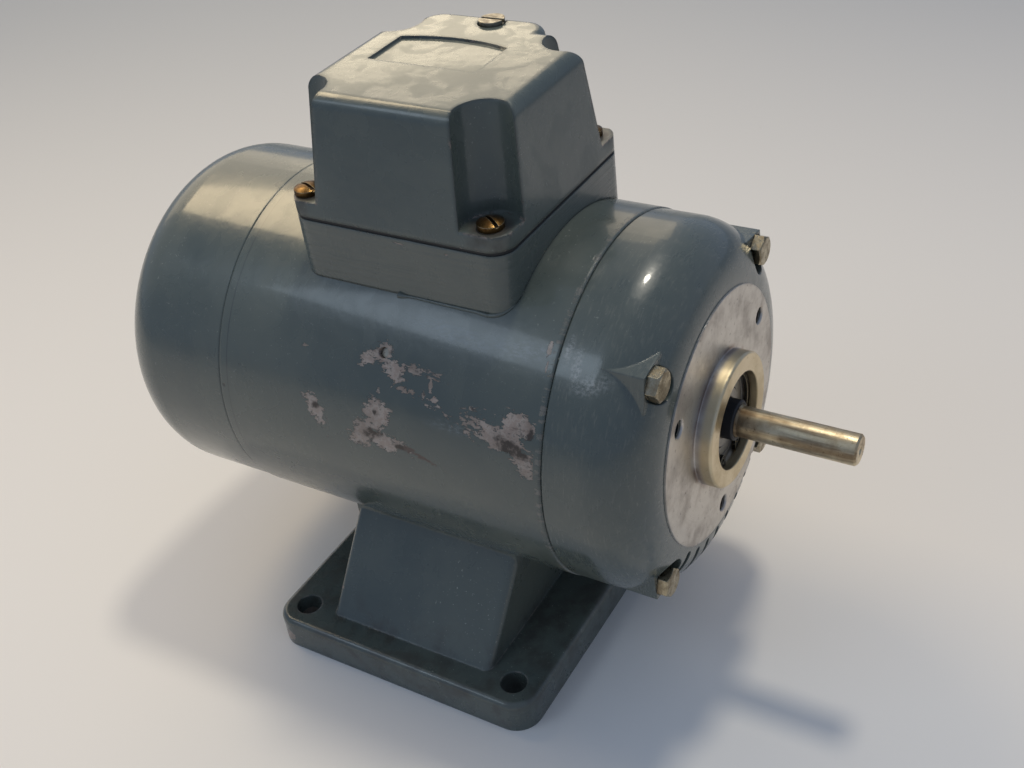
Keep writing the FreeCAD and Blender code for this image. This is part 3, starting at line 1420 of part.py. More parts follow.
def foot_pedestal():
    """Cast foot: a rounded plate and a drafted pedestal that ends in a saddle."""
    body = new_body("foot_block")
    sketch = sketch_on(body, "plate_outline", "XY_Plane")
    rounded_rectangle(sketch, s.plate_length / 2.0, s.plate_width / 2.0, s.plate_corner)
    plate = pad(body, sketch, s.plate_thickness)
    top = s.plate_thickness.value

    def at_plate_top(edge):
        return edge.BoundBox.ZMin > top - 1e-3

    dress(body, "Fillet", plate, edges_where(plate, at_plate_top), s.plate_edge_fillet)
    half_length = s.pedestal_length / 2.0
    sketch = sketch_on(body, "pedestal_section", "YZ_Plane", s.pedestal_offset - half_length)
    root, neck = s.pedestal_root_half_width, s.pedestal_neck_half_width
    base = s.plate_thickness / 2.0
    outline(sketch, [(-root, base), (root, base), (root, s.plate_thickness),
                     (neck, s.pedestal_neck_height), (neck, s.shaft_height),
                     (-neck, s.shaft_height), (-neck, s.pedestal_neck_height),
                     (-root, s.plate_thickness)])
    column = pad(body, sketch, s.pedestal_length)
    above = s.plate_thickness.value

    def at_flank_corner(edge):
        rise = edge.BoundBox.ZMax - edge.BoundBox.ZMin
        lean = edge.BoundBox.YMax - edge.BoundBox.YMin
        return (edge.BoundBox.ZMin > above - 1e-3 and rise > above and lean > above
                and edge.BoundBox.XLength < 1e-3)

    body.Tip = dress(body, "Fillet", column, edges_where(column, at_flank_corner),
                     s.pedestal_corner)
    sketch = sketch_on(body, "foot_hole", "XY_Plane")
    for x in (-HALF_SHARE, HALF_SHARE):
        for y in (-HALF_SHARE, HALF_SHARE):
            circle(sketch, s.foot_hole_spacing_length * x, s.foot_hole_spacing_width * y,
                   s.foot_hole_radius)
    pocket(body, sketch, s.plate_thickness, True)
    sketch = sketch_on(body, "relief", "XY_Plane")
    rounded_rectangle(sketch, s.relief_length / 2.0, s.relief_width / 2.0, s.plate_corner)
    pocket(body, sketch, s.relief_depth, True)
    sketch = sketch_on(body, "screw_well", "XY_Plane")
    for side in (-HALF_SHARE, HALF_SHARE):
        circle(sketch, s.foot_screw_spacing * side, ZERO,
               s.foot_screw_head_radius + s.foot_screw_bore_margin)
    pocket(body, sketch, s.foot_screw_lift, True)
    sketch = sketch_on(body, "screw_way", "XY_Plane")
    for side in (-HALF_SHARE, HALF_SHARE):
        circle(sketch, s.foot_screw_spacing * side, ZERO, s.bolt_radius + s.bolt_clearance)
    body.Tip = pocket(body, sketch, s.shaft_height, True)
    bed = cylinder("foot_bed", s.housing_radius + s.seat_clearance, s.plate_length * 2.0,
                   (-s.plate_length, ZERO, s.shaft_height), X_WAY)
    keep(cut("foot", body, bed), "foot_pedestal")


def foot_screws():
    """Socket-head screws that hold the foot to the housing from below."""
    screws = []
    reach = s.shaft_height - housing_bore - s.foot_screw_lift
    for index, side in enumerate((-HALF_SHARE, HALF_SHARE)):
        number = index + 1
        seat = (s.foot_screw_spacing * side, ZERO, s.foot_screw_lift)
        head = cylinder("foot_screw_head_%d" % number, s.foot_screw_head_radius,
                        s.foot_screw_head_height, seat, DOWN_WAY)
        shank = cylinder("foot_screw_shank_%d" % number, s.bolt_radius, reach, seat)
        socket = prism("foot_screw_socket_%d" % number, s.foot_screw_socket,
                       s.foot_screw_socket_depth + s.cut_overrun,
                       along(seat, DOWN_WAY,
                             s.foot_screw_head_height + s.cut_overrun), Z_WAY)
        screws.append(cut("foot_screw_%d" % number,
                          fuse("foot_screw_blank_%d" % number, [head, shank]), socket))
    keep(group("foot_screw_set", screws), "foot_screws")


def check_and_write():
    """Refuses a failed object or an invalid shape, then writes one STEP file per node."""
    doc.recompute()
    for item in doc.Objects:
        if "Invalid" in item.State or "Error" in item.State:
            raise RuntimeError("%s failed: %s" % (item.Name, item.State))
    os.makedirs("parts", exist_ok=True)
    for item in nodes:
        shape = item.Shape
        if shape.isNull() or not shape.isValid() or not shape.Solids:
            raise RuntimeError("%s has no valid solid" % item.Label)
    for item in nodes:
        shape = item.Shape
        shape.exportStep("parts/%s.step" % item.Label)
        bounds = shape.optimalBoundingBox(True, False)
        print("%-24s solids %2d volume %10.1f  x %.1f %.1f  y %.1f %.1f  z %.1f %.1f" % (
            item.Label, len(shape.Solids), shape.Volume, bounds.XMin, bounds.XMax,
            bounds.YMin, bounds.YMax, bounds.ZMin, bounds.ZMax))


stator_housing()
front_end_shield()
shield_bolts()
rear_end_bracket()
bracket_screws()
rear_cover()
cover_end_screws()
rotor_shaft()
rotor_core()
rotor_cage()
stator_core()
stator_windings()
bearings()
retaining_ring()
wave_washer()
shaft_collar()
cooling_fan()
lock_screws()
terminal_box_base()
terminal_box_gasket()
terminal_box_cover()
box_screws()
terminal_board()
winding_leads()
cable_gland()
foot_pedestal()
foot_screws()
check_and_write()
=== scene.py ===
"""Finishes, fastener detail and studio for a foot mounted demonstration electric motor."""

import math

import bpy
from bpy.props import FloatProperty, FloatVectorProperty, IntProperty, PointerProperty
from mathutils import Euler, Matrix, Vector


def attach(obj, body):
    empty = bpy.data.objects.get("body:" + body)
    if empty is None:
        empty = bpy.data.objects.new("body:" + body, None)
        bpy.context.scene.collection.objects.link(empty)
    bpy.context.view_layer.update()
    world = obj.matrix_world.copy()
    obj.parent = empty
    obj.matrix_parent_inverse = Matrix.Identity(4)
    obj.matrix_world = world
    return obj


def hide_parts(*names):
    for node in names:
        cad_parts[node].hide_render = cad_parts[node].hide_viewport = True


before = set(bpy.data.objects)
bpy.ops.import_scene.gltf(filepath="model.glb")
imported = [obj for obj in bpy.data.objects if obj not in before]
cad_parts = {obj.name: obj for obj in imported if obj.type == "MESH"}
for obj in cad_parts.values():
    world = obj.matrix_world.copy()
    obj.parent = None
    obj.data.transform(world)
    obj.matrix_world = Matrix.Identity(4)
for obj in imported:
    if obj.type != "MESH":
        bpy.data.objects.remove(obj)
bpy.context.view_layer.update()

bl_info = {
    "name": "Demonstration motor finish",
    "version": (1, 0, 0),
    "blender": (4, 5, 0),
    "location": "View3D > Sidebar > Motor",
    "description": "Dresses the packed motor in worn enamel and machined metal, with its studio",
    "category": "Object",
}

MM = 0.001

# places on the motor, in metres
SHAFT_HEIGHT = 0.102
DRUM_RADIUS = 0.067
FACE_FRONT = 0.1013
DISC_RADIUS = 0.0465
RING_RADIUS = 0.0242
BOLT_CIRCLE = 0.0595
BOLT_SEAT = 0.0966
BOLT_REACH = 0.0436
LID_SCREW_CENTRE = 0.0032
LID_SCREW_SPREAD = (0.0725, 0.0674)
LID_LEDGE = 0.1834
PLATE_TOP = 0.0135
TAPPED_CIRCLE = 0.040
TAPPED_RADIUS = 0.003
NEAR_SIDE = (0.0, -0.01)
PAINT_END = (0.0646, 0.0643)
FRONT_SEAM = (0.0650, 0.0672)
REAR_LINE = (-0.0633, -0.0629)
BOX_RIM = (0.1700, 0.1755)
PLATE_EDGE = 0.0100

# the photograph's camera: place in metres, turn in radians, lens and sensor in millimetres
CAMERA_PLACE = (0.2364360, -0.3185965, 0.3746204)
CAMERA_TURN = (0.9368628392, 0.1100226174, 0.5248547101)
CAMERA_LENS = 44.3401753
SENSOR_WIDTH = 36.0

# sky colours: what lights the motor, and what the camera sees past the floor
SKY_LIGHT = (0.25, 0.31, 0.43, 1.0)
SKY_SEEN = (186, 187, 188)

# lamps: azimuth, elevation, distance, width, height (or None for a disk), tint, radiance
LAMP_AIM = (0.02, 0.0, 0.11)
LAMPS = {
    "warm_wall": (140.0, 26.0, 1.7, 2.0, 0.9, (1.0, 0.80, 0.50), 1.2),
    "left_lamp": (162.0, 48.0, 1.3, 0.62, 0.34, (1.0, 0.80, 0.50), 7.5),
    "overhead_lamp": (89.0, 72.5, 1.2, 0.14, None, (1.0, 0.94, 0.80), 92.0),
    "low_lamp": (126.0, 23.0, 1.4, 0.34, 0.14, (1.0, 0.86, 0.60), 3.4),
    "blue_window": (-129.0, 44.0, 1.4, 0.55, 0.35, (0.72, 0.86, 1.0), 2.6)}

# paint lost from the drum: along and around place, long and short half size, turn, in
# millimetres and degrees, measured on the unrolled drum from the near side upward
HOLE_CHIP = (
    (4.0, 40.7, 3.9, 3.4, 0), (7.5, 37.6, 5.6, 2.4, -8), (14.5, 38.0, 6.3, 1.0, -7),
    (8.5, 34.8, 3.8, 1.0, -22), (-0.9, 37.4, 2.3, 1.3, 12))
LOW_CHIP = (
    (3.6, 19.5, 5.6, 5.0, 40), (-1.6, 11.0, 6.6, 4.6, 35), (8.0, 9.6, 6.4, 2.9, -8))
LEFT_CHIP = ((-23.6, 15.4, 5.0, 2.9, -42), (-21.2, 11.2, 3.0, 1.3, -70))
SEAM_CHIP = (
    (58.6, 28.0, 6.0, 4.6, 20), (52.6, 22.4, 10.2, 3.9, -12), (33.4, 24.6, 5.4, 0.6, -20),
    (38.2, 25.4, 2.6, 1.1, -80), (46.0, 28.2, 2.4, 0.8, 15), (60.6, 17.2, 6.0, 3.6, -26))
SMALL_FLECKS = (
    (14.4, 30.4, 3.6, 0.8, -6), (17.6, 30.2, 1.2, 1.0, 0), (24.3, 33.8, 0.8, 1.9, 0),
    (26.4, 29.6, 1.2, 0.9, 20), (22.0, 30.0, 0.6, 1.2, 0), (24.4, 36.8, 1.3, 0.3, 0),
    (40.6, 30.1, 2.0, 0.3, 10), (-28.4, 36.6, 0.8, 0.5, 0), (4.0, 27.6, 0.6, 0.9, 0),
    (63.6, 55.0, 0.9, 2.6, 0), (64.6, 49.0, 0.7, 2.0, 0))
DARK_STAINS = (
    (-21.9, 16.4, 2.2, 1.3, 20), (1.4, 11.6, 4.2, 1.7, 10), (3.2, 19.8, 1.0, 1.1, 0),
    (56.4, 20.4, 6.4, 2.5, -12), (62.8, 26.4, 2.8, 1.1, 86), (12.6, 9.0, 2.0, 1.0, -10))
RUST_RUNS = ((15.3, 9.2, 3.2, 1.3, -8), (21.5, 7.6, 3.6, 0.6, -16))
# scuff marks on the drum and the shield: their pale tint is partly a painted reflection of the
# window lamp
DRUM_SCUFFS_PAINTED_SHEEN = ((29.6, 52.3, 10.5, 1.7, -6), (54.0, 52.4, 8.4, 2.4, 4), (33.0, 22.0, 2.2, 0.5, 0))
SHIELD_SCUFFS_PAINTED_SHEEN = ((73.9, 51.7, 1.6, 5.0, 8), (79.8, 46.7, 4.2, 2.0, 20), (70.0, 56.0, 1.2, 4.0, 0))

# finishes: material name, its two colours and numbers, and the CAD nodes that wear it
TURNED = (
    ("bearing_steel", ((160, 158, 154), (90, 78, 64), 0.4),
     ("bearing_outer_rings", "bearing_inner_rings", "bearing_ball_cages",
      "bearing_side_shields")),
    ("cast_aluminium", ((150, 150, 148), (110, 106, 100), 0.5),
     ("rear_end_bracket", "rotor_cage")),
    ("core_steel", ((96, 94, 92), (70, 56, 44), 0.5), ("rotor_core", "stator_core")))
HARDWARE = (
    ("dark_spring_steel", ((62, 60, 58), (44, 34, 26), 0.6, 0.35),
     ("bolt_spring_washers", "bearing_retaining_ring", "bearing_preload_washer", "fan_clip")),
    ("screw_steel", ((168, 162, 148), (92, 74, 54), 0.4, 0.28),
     ("bracket_screws", "rear_cover_screws", "core_lock_screws", "box_base_screws",
      "earth_screw", "terminal_studs", "terminal_board_screws", "foot_screws",
      "cover_top_screw")))
SOFT = (
    ("black_rubber", ((24, 24, 25), (38, 36, 35), 0.5),
     ("terminal_box_gasket", "cable_gland_seal", "shaft_collar")),
    ("varnished_copper", ((120, 66, 34), (92, 44, 24), 0.3), ("stator_windings",)),
    ("lead_insulation", ((150, 52, 38), (112, 44, 36), 0.5), ("winding_leads",)),
    ("fan_plastic", ((40, 42, 44), (56, 58, 60), 0.45), ("cooling_fan",)),
    ("board_plastic", ((70, 44, 30), (54, 34, 26), 0.4), ("terminal_board",)),
    ("gland_plastic", ((40, 41, 43), (60, 60, 61), 0.42), ("cable_gland",)))


def put(tree, kind, inputs=None, **settings):
    """Adds a node, sets its options and fills its inputs with values or links."""
    node = tree.nodes.new(kind)
    for name, value in settings.items():
        setattr(node, name, value)
    for name, value in (inputs or {}).items():
        socket = node.inputs[name]
        if isinstance(value, bpy.types.NodeSocket):
            tree.links.new(value, socket)
        else:
            socket.default_value = value
    return node


def calc(tree, operation, first, second=0.0, third=0.0):
    """One Math node on sockets or numbers."""
    return put(tree, "ShaderNodeMath", {0: first, 1: second, 2: third},
               operation=operation).outputs[0]


def product(tree, *values):
    result = values[0]
    for value in values[1:]:
        result = calc(tree, "MULTIPLY", result, value)
    return result


def total(tree, *values):
    result = values[0]
    for value in values[1:]:
        result = calc(tree, "ADD", result, value)
    return result


def vector(tree, parts):
    """A vector from some of its X, Y and Z; the others stay 0."""
    return put(tree, "ShaderNodeCombineXYZ", parts).outputs[0]


def ramp(tree, value, low, high, start=0.0, end=1.0):
    """Maps low..high of a value to start..end, held at both ends."""
    node = put(tree, "ShaderNodeMapRange", {
        "Value": value, "From Min": low, "From Max": high, "To Min": start, "To Max": end},
        interpolation_type="SMOOTHSTEP")
    return node.outputs["Result"]


def blend(tree, share, first, second):
    """Mixes two colours by a share."""
    node = put(tree, "ShaderNodeMix", {0: share, 6: first, 7: second}, data_type="RGBA")
    return node.outputs[2]


def mix(tree, share, first, second):
    """Mixes two values by a share."""
    return put(tree, "ShaderNodeMix", {0: share, 2: first, 3: second}).outputs[0]


def noise(tree, vector, scale, detail=3.0, rough=0.5, stretch=None, distortion=0.0):
    """A noise value on a vector; stretch squeezes it along the axes."""
    if stretch:
        vector = put(tree, "ShaderNodeVectorMath", {0: vector, 1: stretch},
                     operation="MULTIPLY").outputs[0]
    node = put(tree, "ShaderNodeTexNoise", {
        "Vector": vector, "Scale": scale, "Detail": detail, "Roughness": rough,
        "Distortion": distortion})
    return node.outputs["Fac"]


def colour(red, green, blue):
    """A display colour of 0 to 255 as the linear colour that a shader takes."""
    values = []
    for part in (red, green, blue):
        share = part / 255.0
        values.append(share / 12.92 if share <= 0.04045 else ((share + 0.055) / 1.055) ** 2.4)
    return (values[0], values[1], values[2], 1.0)


FLOAT = "NodeSocketFloat"
COLOUR = "NodeSocketColor"
VECTOR = "NodeSocketVector"


def new_group(name, inputs, outputs, kind="ShaderNodeTree"):
    """An empty node group; inputs are (name, kind, default), outputs (name, kind)."""
    tree = bpy.data.node_groups.new(name, kind)
    for label, socket_kind, default in inputs:
        socket = tree.interface.new_socket(label, in_out="INPUT", socket_type=socket_kind)
        if default is not None:
            socket.default_value = default
    for label, socket_kind in outputs:
        tree.interface.new_socket(label, in_out="OUTPUT", socket_type=socket_kind)
    return tree, tree.nodes.new("NodeGroupInput").outputs, tree.nodes.new("NodeGroupOutput")


def use_group(tree, name, inputs=None):
    """Places a shader node group in a tree and returns its outputs."""
    return put(tree, "ShaderNodeGroup", inputs, node_tree=bpy.data.node_groups[name]).outputs


def send(tree, end, **results):
    """Links results to a group's outputs by name."""
    for name, value in results.items():
        tree.links.new(value, end.inputs[name])


def reach_of(tree, first, second):
    """The length of two coordinates at right angles."""
    return calc(tree, "SQRT", total(tree, calc(tree, "POWER", first, 2.0),
                                    calc(tree, "POWER", second, 2.0)))


def axes(tree, spot):
    """Sockets of the three coordinates and of the distance from the shaft line."""
    x, y, z = put(tree, "ShaderNodeSeparateXYZ", {0: spot}).outputs
    high = calc(tree, "SUBTRACT", z, SHAFT_HEIGHT)
    return x, y, z, reach_of(tree, y, high)


# shared effects

def build_enamel_group():
    """Glossy brushed-on enamel: cloudy colour, dust, dark nicks, pale specks, orange peel."""
    tree, start, end = new_group("Old Enamel", [
        ("Vector", VECTOR, None), ("Paint", COLOUR, None), ("Faded", COLOUR, None),
        ("Nicks", FLOAT, 0.5), ("Dust", FLOAT, 0.3), ("Blotches", FLOAT, 0.3)],
        [("Color", COLOUR), ("Roughness", FLOAT), ("Height", FLOAT)])
    spot = start["Vector"]
    clouds = ramp(tree, noise(tree, spot, 14.0, 5.0, 0.6), 0.35, 0.7)
    smears = ramp(tree, noise(tree, spot, 60.0, 4.0, 0.6, (1.0, 0.35, 0.35)), 0.45, 0.75)
    blotch = ramp(tree, noise(tree, spot, 85.0, 4.0, 0.55, None, 0.6), 0.46, 0.58)
    blotch = product(tree, blotch, start["Blotches"])
    paint = blend(tree, product(tree, clouds, 0.7), start["Paint"], start["Faded"])
    paint = blend(tree, product(tree, smears, 0.25), paint, start["Faded"])
    dust = ramp(tree, noise(tree, spot, 900.0, 2.0, 0.7), 0.66, 0.74)
    dust = product(tree, dust, clouds, start["Dust"])
    paint = blend(tree, dust, paint, colour(170, 170, 160))
    cell = put(tree, "ShaderNodeTexVoronoi", {"Vector": spot, "Scale": 48.0})
    size = ramp(tree, cell.outputs["Color"], 0.55, 1.0, 0.0, 0.085)
    reach = total(tree, cell.outputs["Distance"],
                  product(tree, noise(tree, spot, 700.0, 2.0), 0.05))
    nicks = ramp(tree, calc(tree, "SUBTRACT", reach, size), 0.012, 0.0)
    nicks = product(tree, nicks, start["Nicks"])
    paint = blend(tree, nicks, paint, colour(44, 34, 28))
    cell = put(tree, "ShaderNodeTexVoronoi", {"Vector": spot, "Scale": 71.0})
    size = ramp(tree, cell.outputs["Color"], 0.8, 1.0, 0.0, 0.045)
    specks = ramp(tree, calc(tree, "SUBTRACT", cell.outputs["Distance"], size), 0.01, 0.0)
    paint = blend(tree, product(tree, specks, 0.8), paint, colour(196, 194, 186))
    rough = total(tree, 0.2, product(tree, clouds, 0.1), product(tree, smears, 0.08),
                  product(tree, nicks, 0.4), product(tree, dust, 0.3),
                  product(tree, blotch, 0.14))
    peel = product(tree, noise(tree, spot, 260.0, 2.0, 0.4), 0.6)
    sag = product(tree, noise(tree, spot, 45.0, 2.0, 0.4), 1.6)
    height = calc(tree, "SUBTRACT", total(tree, peel, sag), product(tree, nicks, 1.6))
    height = total(tree, height, product(tree, specks, 1.0))
    send(tree, end, Color=paint, Roughness=rough, Height=height)


def build_reach_group():
    """Distance in millimetres outside an oval on a flat place, negative inside it."""
    tree, start, end = new_group("Oval Reach", [
        ("Place", VECTOR, None), ("Centre", VECTOR, None), ("Half", VECTOR, None),
        ("Turn", FLOAT, 0.0)], [("Distance", FLOAT)])
    away = put(tree, "ShaderNodeVectorMath", {0: start["Place"], 1: start["Centre"]},
               operation="SUBTRACT").outputs[0]
    turned = put(tree, "ShaderNodeVectorRotate", {
        "Vector": away, "Angle": calc(tree, "MULTIPLY", start["Turn"], -1.0)},
        rotation_type="Z_AXIS").outputs[0]
    share = put(tree, "ShaderNodeVectorMath", {0: turned, 1: start["Half"]},
                operation="DIVIDE").outputs[0]
    far = put(tree, "ShaderNodeVectorMath", {0: share}, operation="LENGTH").outputs["Value"]
    short = put(tree, "ShaderNodeSeparateXYZ", {0: start["Half"]}).outputs["Y"]
    send(tree, end, Distance=product(tree, calc(tree, "SUBTRACT", far, 1.0), short))


def build_unrolled_group():
    """Places on the drum laid flat in millimetres: along the shaft, then up the near side."""
    tree, start, end = new_group("Unrolled Drum", [("Vector", VECTOR, None)],
                                 [("Place", VECTOR)])
    x, y, z = put(tree, "ShaderNodeSeparateXYZ", {0: start["Vector"]}).outputs
    turn = calc(tree, "ARCTAN2", calc(tree, "SUBTRACT", z, SHAFT_HEIGHT),
                calc(tree, "MULTIPLY", y, -1.0))
    send(tree, end, Place=vector(tree, {
        "X": calc(tree, "DIVIDE", x, MM), "Y": product(tree, turn, DRUM_RADIUS / MM)}))


def build_bare_group():
    """Lays bare primer and stained metal over paint where the mask is 1."""
    tree, start, end = new_group("Paint Loss", [
        ("Vector", VECTOR, None), ("Mask", FLOAT, 0.0), ("Stains", FLOAT, 0.0),
        ("Color", COLOUR, None), ("Roughness", FLOAT, 0.3), ("Height", FLOAT, 0.0),
        ("Bare", COLOUR, None)],
        [("Color", COLOUR), ("Roughness", FLOAT), ("Height", FLOAT)])
    spot, mask = start["Vector"], start["Mask"]
    mottle = noise(tree, spot, 330.0, 6.0, 0.7)
    broad = ramp(tree, noise(tree, spot, 95.0, 4.0, 0.6), 0.35, 0.65)
    pale = blend(tree, ramp(tree, mottle, 0.42, 0.6), start["Bare"], colour(176, 164, 152))
    pale = blend(tree, product(tree, broad, 0.5), pale, colour(104, 92, 80))
    lines = ramp(tree, noise(tree, spot, 420.0, 5.0, 0.7, (0.35, 1.0, 1.6)), 0.55, 0.68)
    pale = blend(tree, product(tree, lines, 0.55), pale, colour(84, 66, 54))
    darkening = ramp(tree, total(tree, start["Stains"], product(tree, mottle, 4.0)), 2.0, 2.9)
    pale = blend(tree, darkening, pale, colour(52, 42, 33))
    bare_rough = calc(tree, "MULTIPLY_ADD", mottle, 0.3, 0.45)
    drop = product(tree, mask, calc(tree, "SUBTRACT", 2.4, mottle))
    send(tree, end, Color=blend(tree, mask, start["Color"], pale),
         Roughness=mix(tree, mask, start["Roughness"], bare_rough),
         Height=calc(tree, "SUBTRACT", start["Height"], drop))


def build_turned_group():
    """Machined metal: tool rings around the shaft line, tarnish clouds and small brown spots."""
    tree, start, end = new_group("Turned Metal", [
        ("Vector", VECTOR, None), ("Metal", COLOUR, None), ("Tarnish", COLOUR, None),
        ("Amount", FLOAT, 0.4), ("Rings", FLOAT, 0.5)],
        [("Color", COLOUR), ("Roughness", FLOAT), ("Height", FLOAT)])
    spot = start["Vector"]
    x, _, _, far = axes(tree, spot)
    ring_spot = vector(tree, {"X": far, "Y": x})
    tool = noise(tree, ring_spot, 2600.0, 2.0, 0.6)
    broad = noise(tree, ring_spot, 380.0, 2.0, 0.5)
    clouds = ramp(tree, noise(tree, spot, 70.0, 6.0, 0.65), 0.4, 0.68)
    spots = ramp(tree, noise(tree, spot, 620.0, 4.0, 0.6), 0.62, 0.7)
    metal = blend(tree, product(tree, clouds, start["Amount"]), start["Metal"],
                  start["Tarnish"])
    metal = blend(tree, product(tree, broad, 0.25), metal, colour(120, 112, 104))
    metal = blend(tree, product(tree, spots, start["Amount"], 0.8), metal,
                  colour(70, 52, 36))
    rough = total(tree, 0.24, product(tree, clouds, 0.18), product(tree, tool, 0.12),
                  product(tree, spots, 0.15))
    send(tree, end, Color=metal, Roughness=rough, Height=product(tree, tool, start["Rings"]))


def build_patina_group():
    """Small hardware: plated colour under brown patina, paler where handling rubs it."""
    tree, start, end = new_group("Hardware Patina", [
        ("Vector", VECTOR, None), ("Plating", COLOUR, None), ("Patina", COLOUR, None),
        ("Amount", FLOAT, 0.5), ("Polish", FLOAT, 0.3), ("Edge", FLOAT, 0.0)],
        [("Color", COLOUR), ("Roughness", FLOAT), ("Height", FLOAT)])
    spot = start["Vector"]
    clouds = ramp(tree, noise(tree, spot, 330.0, 6.0, 0.65), 0.36, 0.66)
    grains = ramp(tree, noise(tree, spot, 1500.0, 4.0, 0.6), 0.45, 0.7)
    tint = blend(tree, product(tree, clouds, start["Amount"]), start["Plating"],
                 start["Patina"])
    tint = blend(tree, product(tree, grains, 0.3), tint, start["Patina"])
    tint = blend(tree, product(tree, start["Edge"], 0.6), tint, colour(214, 200, 168))
    rough = total(tree, start["Polish"], product(tree, clouds, 0.25))
    send(tree, end, Color=tint, Roughness=rough,
         Height=total(tree, product(tree, grains, 0.5), clouds))


def build_edge_group():
    """Rounds the shading of sharp edges and masks where they are."""
    tree, start, end = new_group("Soft Edge", [("Radius", FLOAT, 0.001)],
                                 [("Normal", VECTOR), ("Edge", FLOAT)])
    soft = put(tree, "ShaderNodeBevel", {"Radius": start["Radius"]}, samples=6).outputs[0]
    true = tree.nodes.new("ShaderNodeNewGeometry").outputs["Normal"]
    same = put(tree, "ShaderNodeVectorMath", {0: soft, 1: true},
               operation="DOT_PRODUCT").outputs["Value"]
    send(tree, end, Normal=soft, Edge=ramp(tree, same, 0.985, 0.85))


# materials

def start_material(name, edge_radius):
    """A cleared material with its Principled shader and softened edges; returns the parts."""
    material = bpy.data.materials.new(name)
    material.use_nodes = True
    tree = material.node_tree
    tree.nodes.clear()
    out = tree.nodes.new("ShaderNodeOutputMaterial")
    shader = tree.nodes.new("ShaderNodeBsdfPrincipled")
    tree.links.new(shader.outputs[0], out.inputs["Surface"])
    spot = tree.nodes.new("ShaderNodeTexCoord").outputs["Object"]
    soft = use_group(tree, "Soft Edge", {"Radius": edge_radius})
    return material, tree, shader, spot, soft


def finish_material(tree, shader, results, soft, depth, metallic=0.0):
    """Links colour, roughness and bump to the shader."""
    tree.links.new(results["Color"], shader.inputs["Base Color"])
    tree.links.new(results["Roughness"], shader.inputs["Roughness"])
    bump = put(tree, "ShaderNodeBump", {
        "Height": results["Height"], "Distance": depth, "Strength": 1.0,
        "Normal": soft["Normal"]})
    tree.links.new(bump.outputs[0], shader.inputs["Normal"])
    if isinstance(metallic, bpy.types.NodeSocket):
        tree.links.new(metallic, shader.inputs["Metallic"])
    else:
        shader.inputs["Metallic"].default_value = metallic


def band(tree, value, low, high, soft):
    """1 where a value lies between low and high, with soft sides."""
    rise = ramp(tree, value, low - soft, low + soft)
    fall = ramp(tree, value, high + soft, high - soft)
    return product(tree, rise, fall)


def nearest(tree, place, ovals):
    """The least distance in millimetres to a set of ovals."""
    result = None
    for along, around, half_long, half_short, turn in ovals:
        reach = use_group(tree, "Oval Reach", {
            "Place": place, "Centre": (along, around, 0.0), "Half": (half_long, half_short, 1.0),
            "Turn": math.radians(turn)})["Distance"]
        result = reach if result is None else calc(tree, "MINIMUM", result, reach)
    return result


def torn(tree, place, reach, coarse, fine):
    """A mask with a torn, splintered border round what lies within a reach."""
    broad = noise(tree, place, 0.22, 3.0, 0.55, (0.7, 1.0, 1.0))
    sharp = noise(tree, place, 0.9, 6.0, 0.68, (0.45, 1.0, 1.0), 0.4)
    shift = total(tree, product(tree, calc(tree, "SUBTRACT", broad, 0.5), coarse),
                  product(tree, calc(tree, "SUBTRACT", sharp, 0.5), fine))
    return ramp(tree, total(tree, reach, shift), 0.12, -0.12)


def flat_place(tree, first, second):
    """Two coordinates in metres as a flat place in millimetres."""
    return vector(tree, {
        "X": calc(tree, "DIVIDE", first, MM), "Y": calc(tree, "DIVIDE", second, MM)})


def widest(tree, *masks):
    """The greatest of several masks."""
    result = masks[0]
    for mask in masks[1:]:
        result = calc(tree, "MAXIMUM", result, mask)
    return result


def enamel_base(name, nicks=0.6, dust=0.4, blotches=0.3, edge_radius=1.2 * MM):
    """Starts an enamel material; returns its parts and the group's three results."""
    look = bpy.context.scene.motor_enamel
    material, tree, shader, spot, soft = start_material(name, edge_radius)
    results = use_group(tree, "Old Enamel", {
        "Vector": spot, "Paint": (*look.paint, 1.0), "Faded": (*look.faded, 1.0),
        "Nicks": nicks, "Dust": dust, "Blotches": blotches})
    shader.inputs["Coat Weight"].default_value = look.gloss
    shader.inputs["Coat Roughness"].default_value = look.gloss_blur
    return material, tree, shader, spot, soft, results


def lose_paint(tree, spot, mask, stains, results):
    """Runs the paint loss group over an enamel's results."""
    look = bpy.context.scene.motor_enamel
    return use_group(tree, "Paint Loss", {
        "Vector": spot, "Mask": mask, "Stains": stains, "Color": results["Color"],
        "Roughness": results["Roughness"], "Height": results["Height"],
        "Bare": (*look.primer, 1.0)})


def edge_wear(tree, spot, soft, amount):
    """Where paint has rubbed through on the edges; a greater amount bares more."""
    chips = noise(tree, spot, 230.0, 6.0, 0.7)
    return product(tree, soft["Edge"], ramp(tree, chips, 0.72 - amount, 0.78 - amount))


def tint_over(tree, results, mask, tint, rougher=0.0):
    """Results with a tint laid over where the mask is."""
    return {"Color": blend(tree, mask, results["Color"], tint),
            "Roughness": total(tree, results["Roughness"], product(tree, mask, rougher)),
            "Height": results["Height"]}


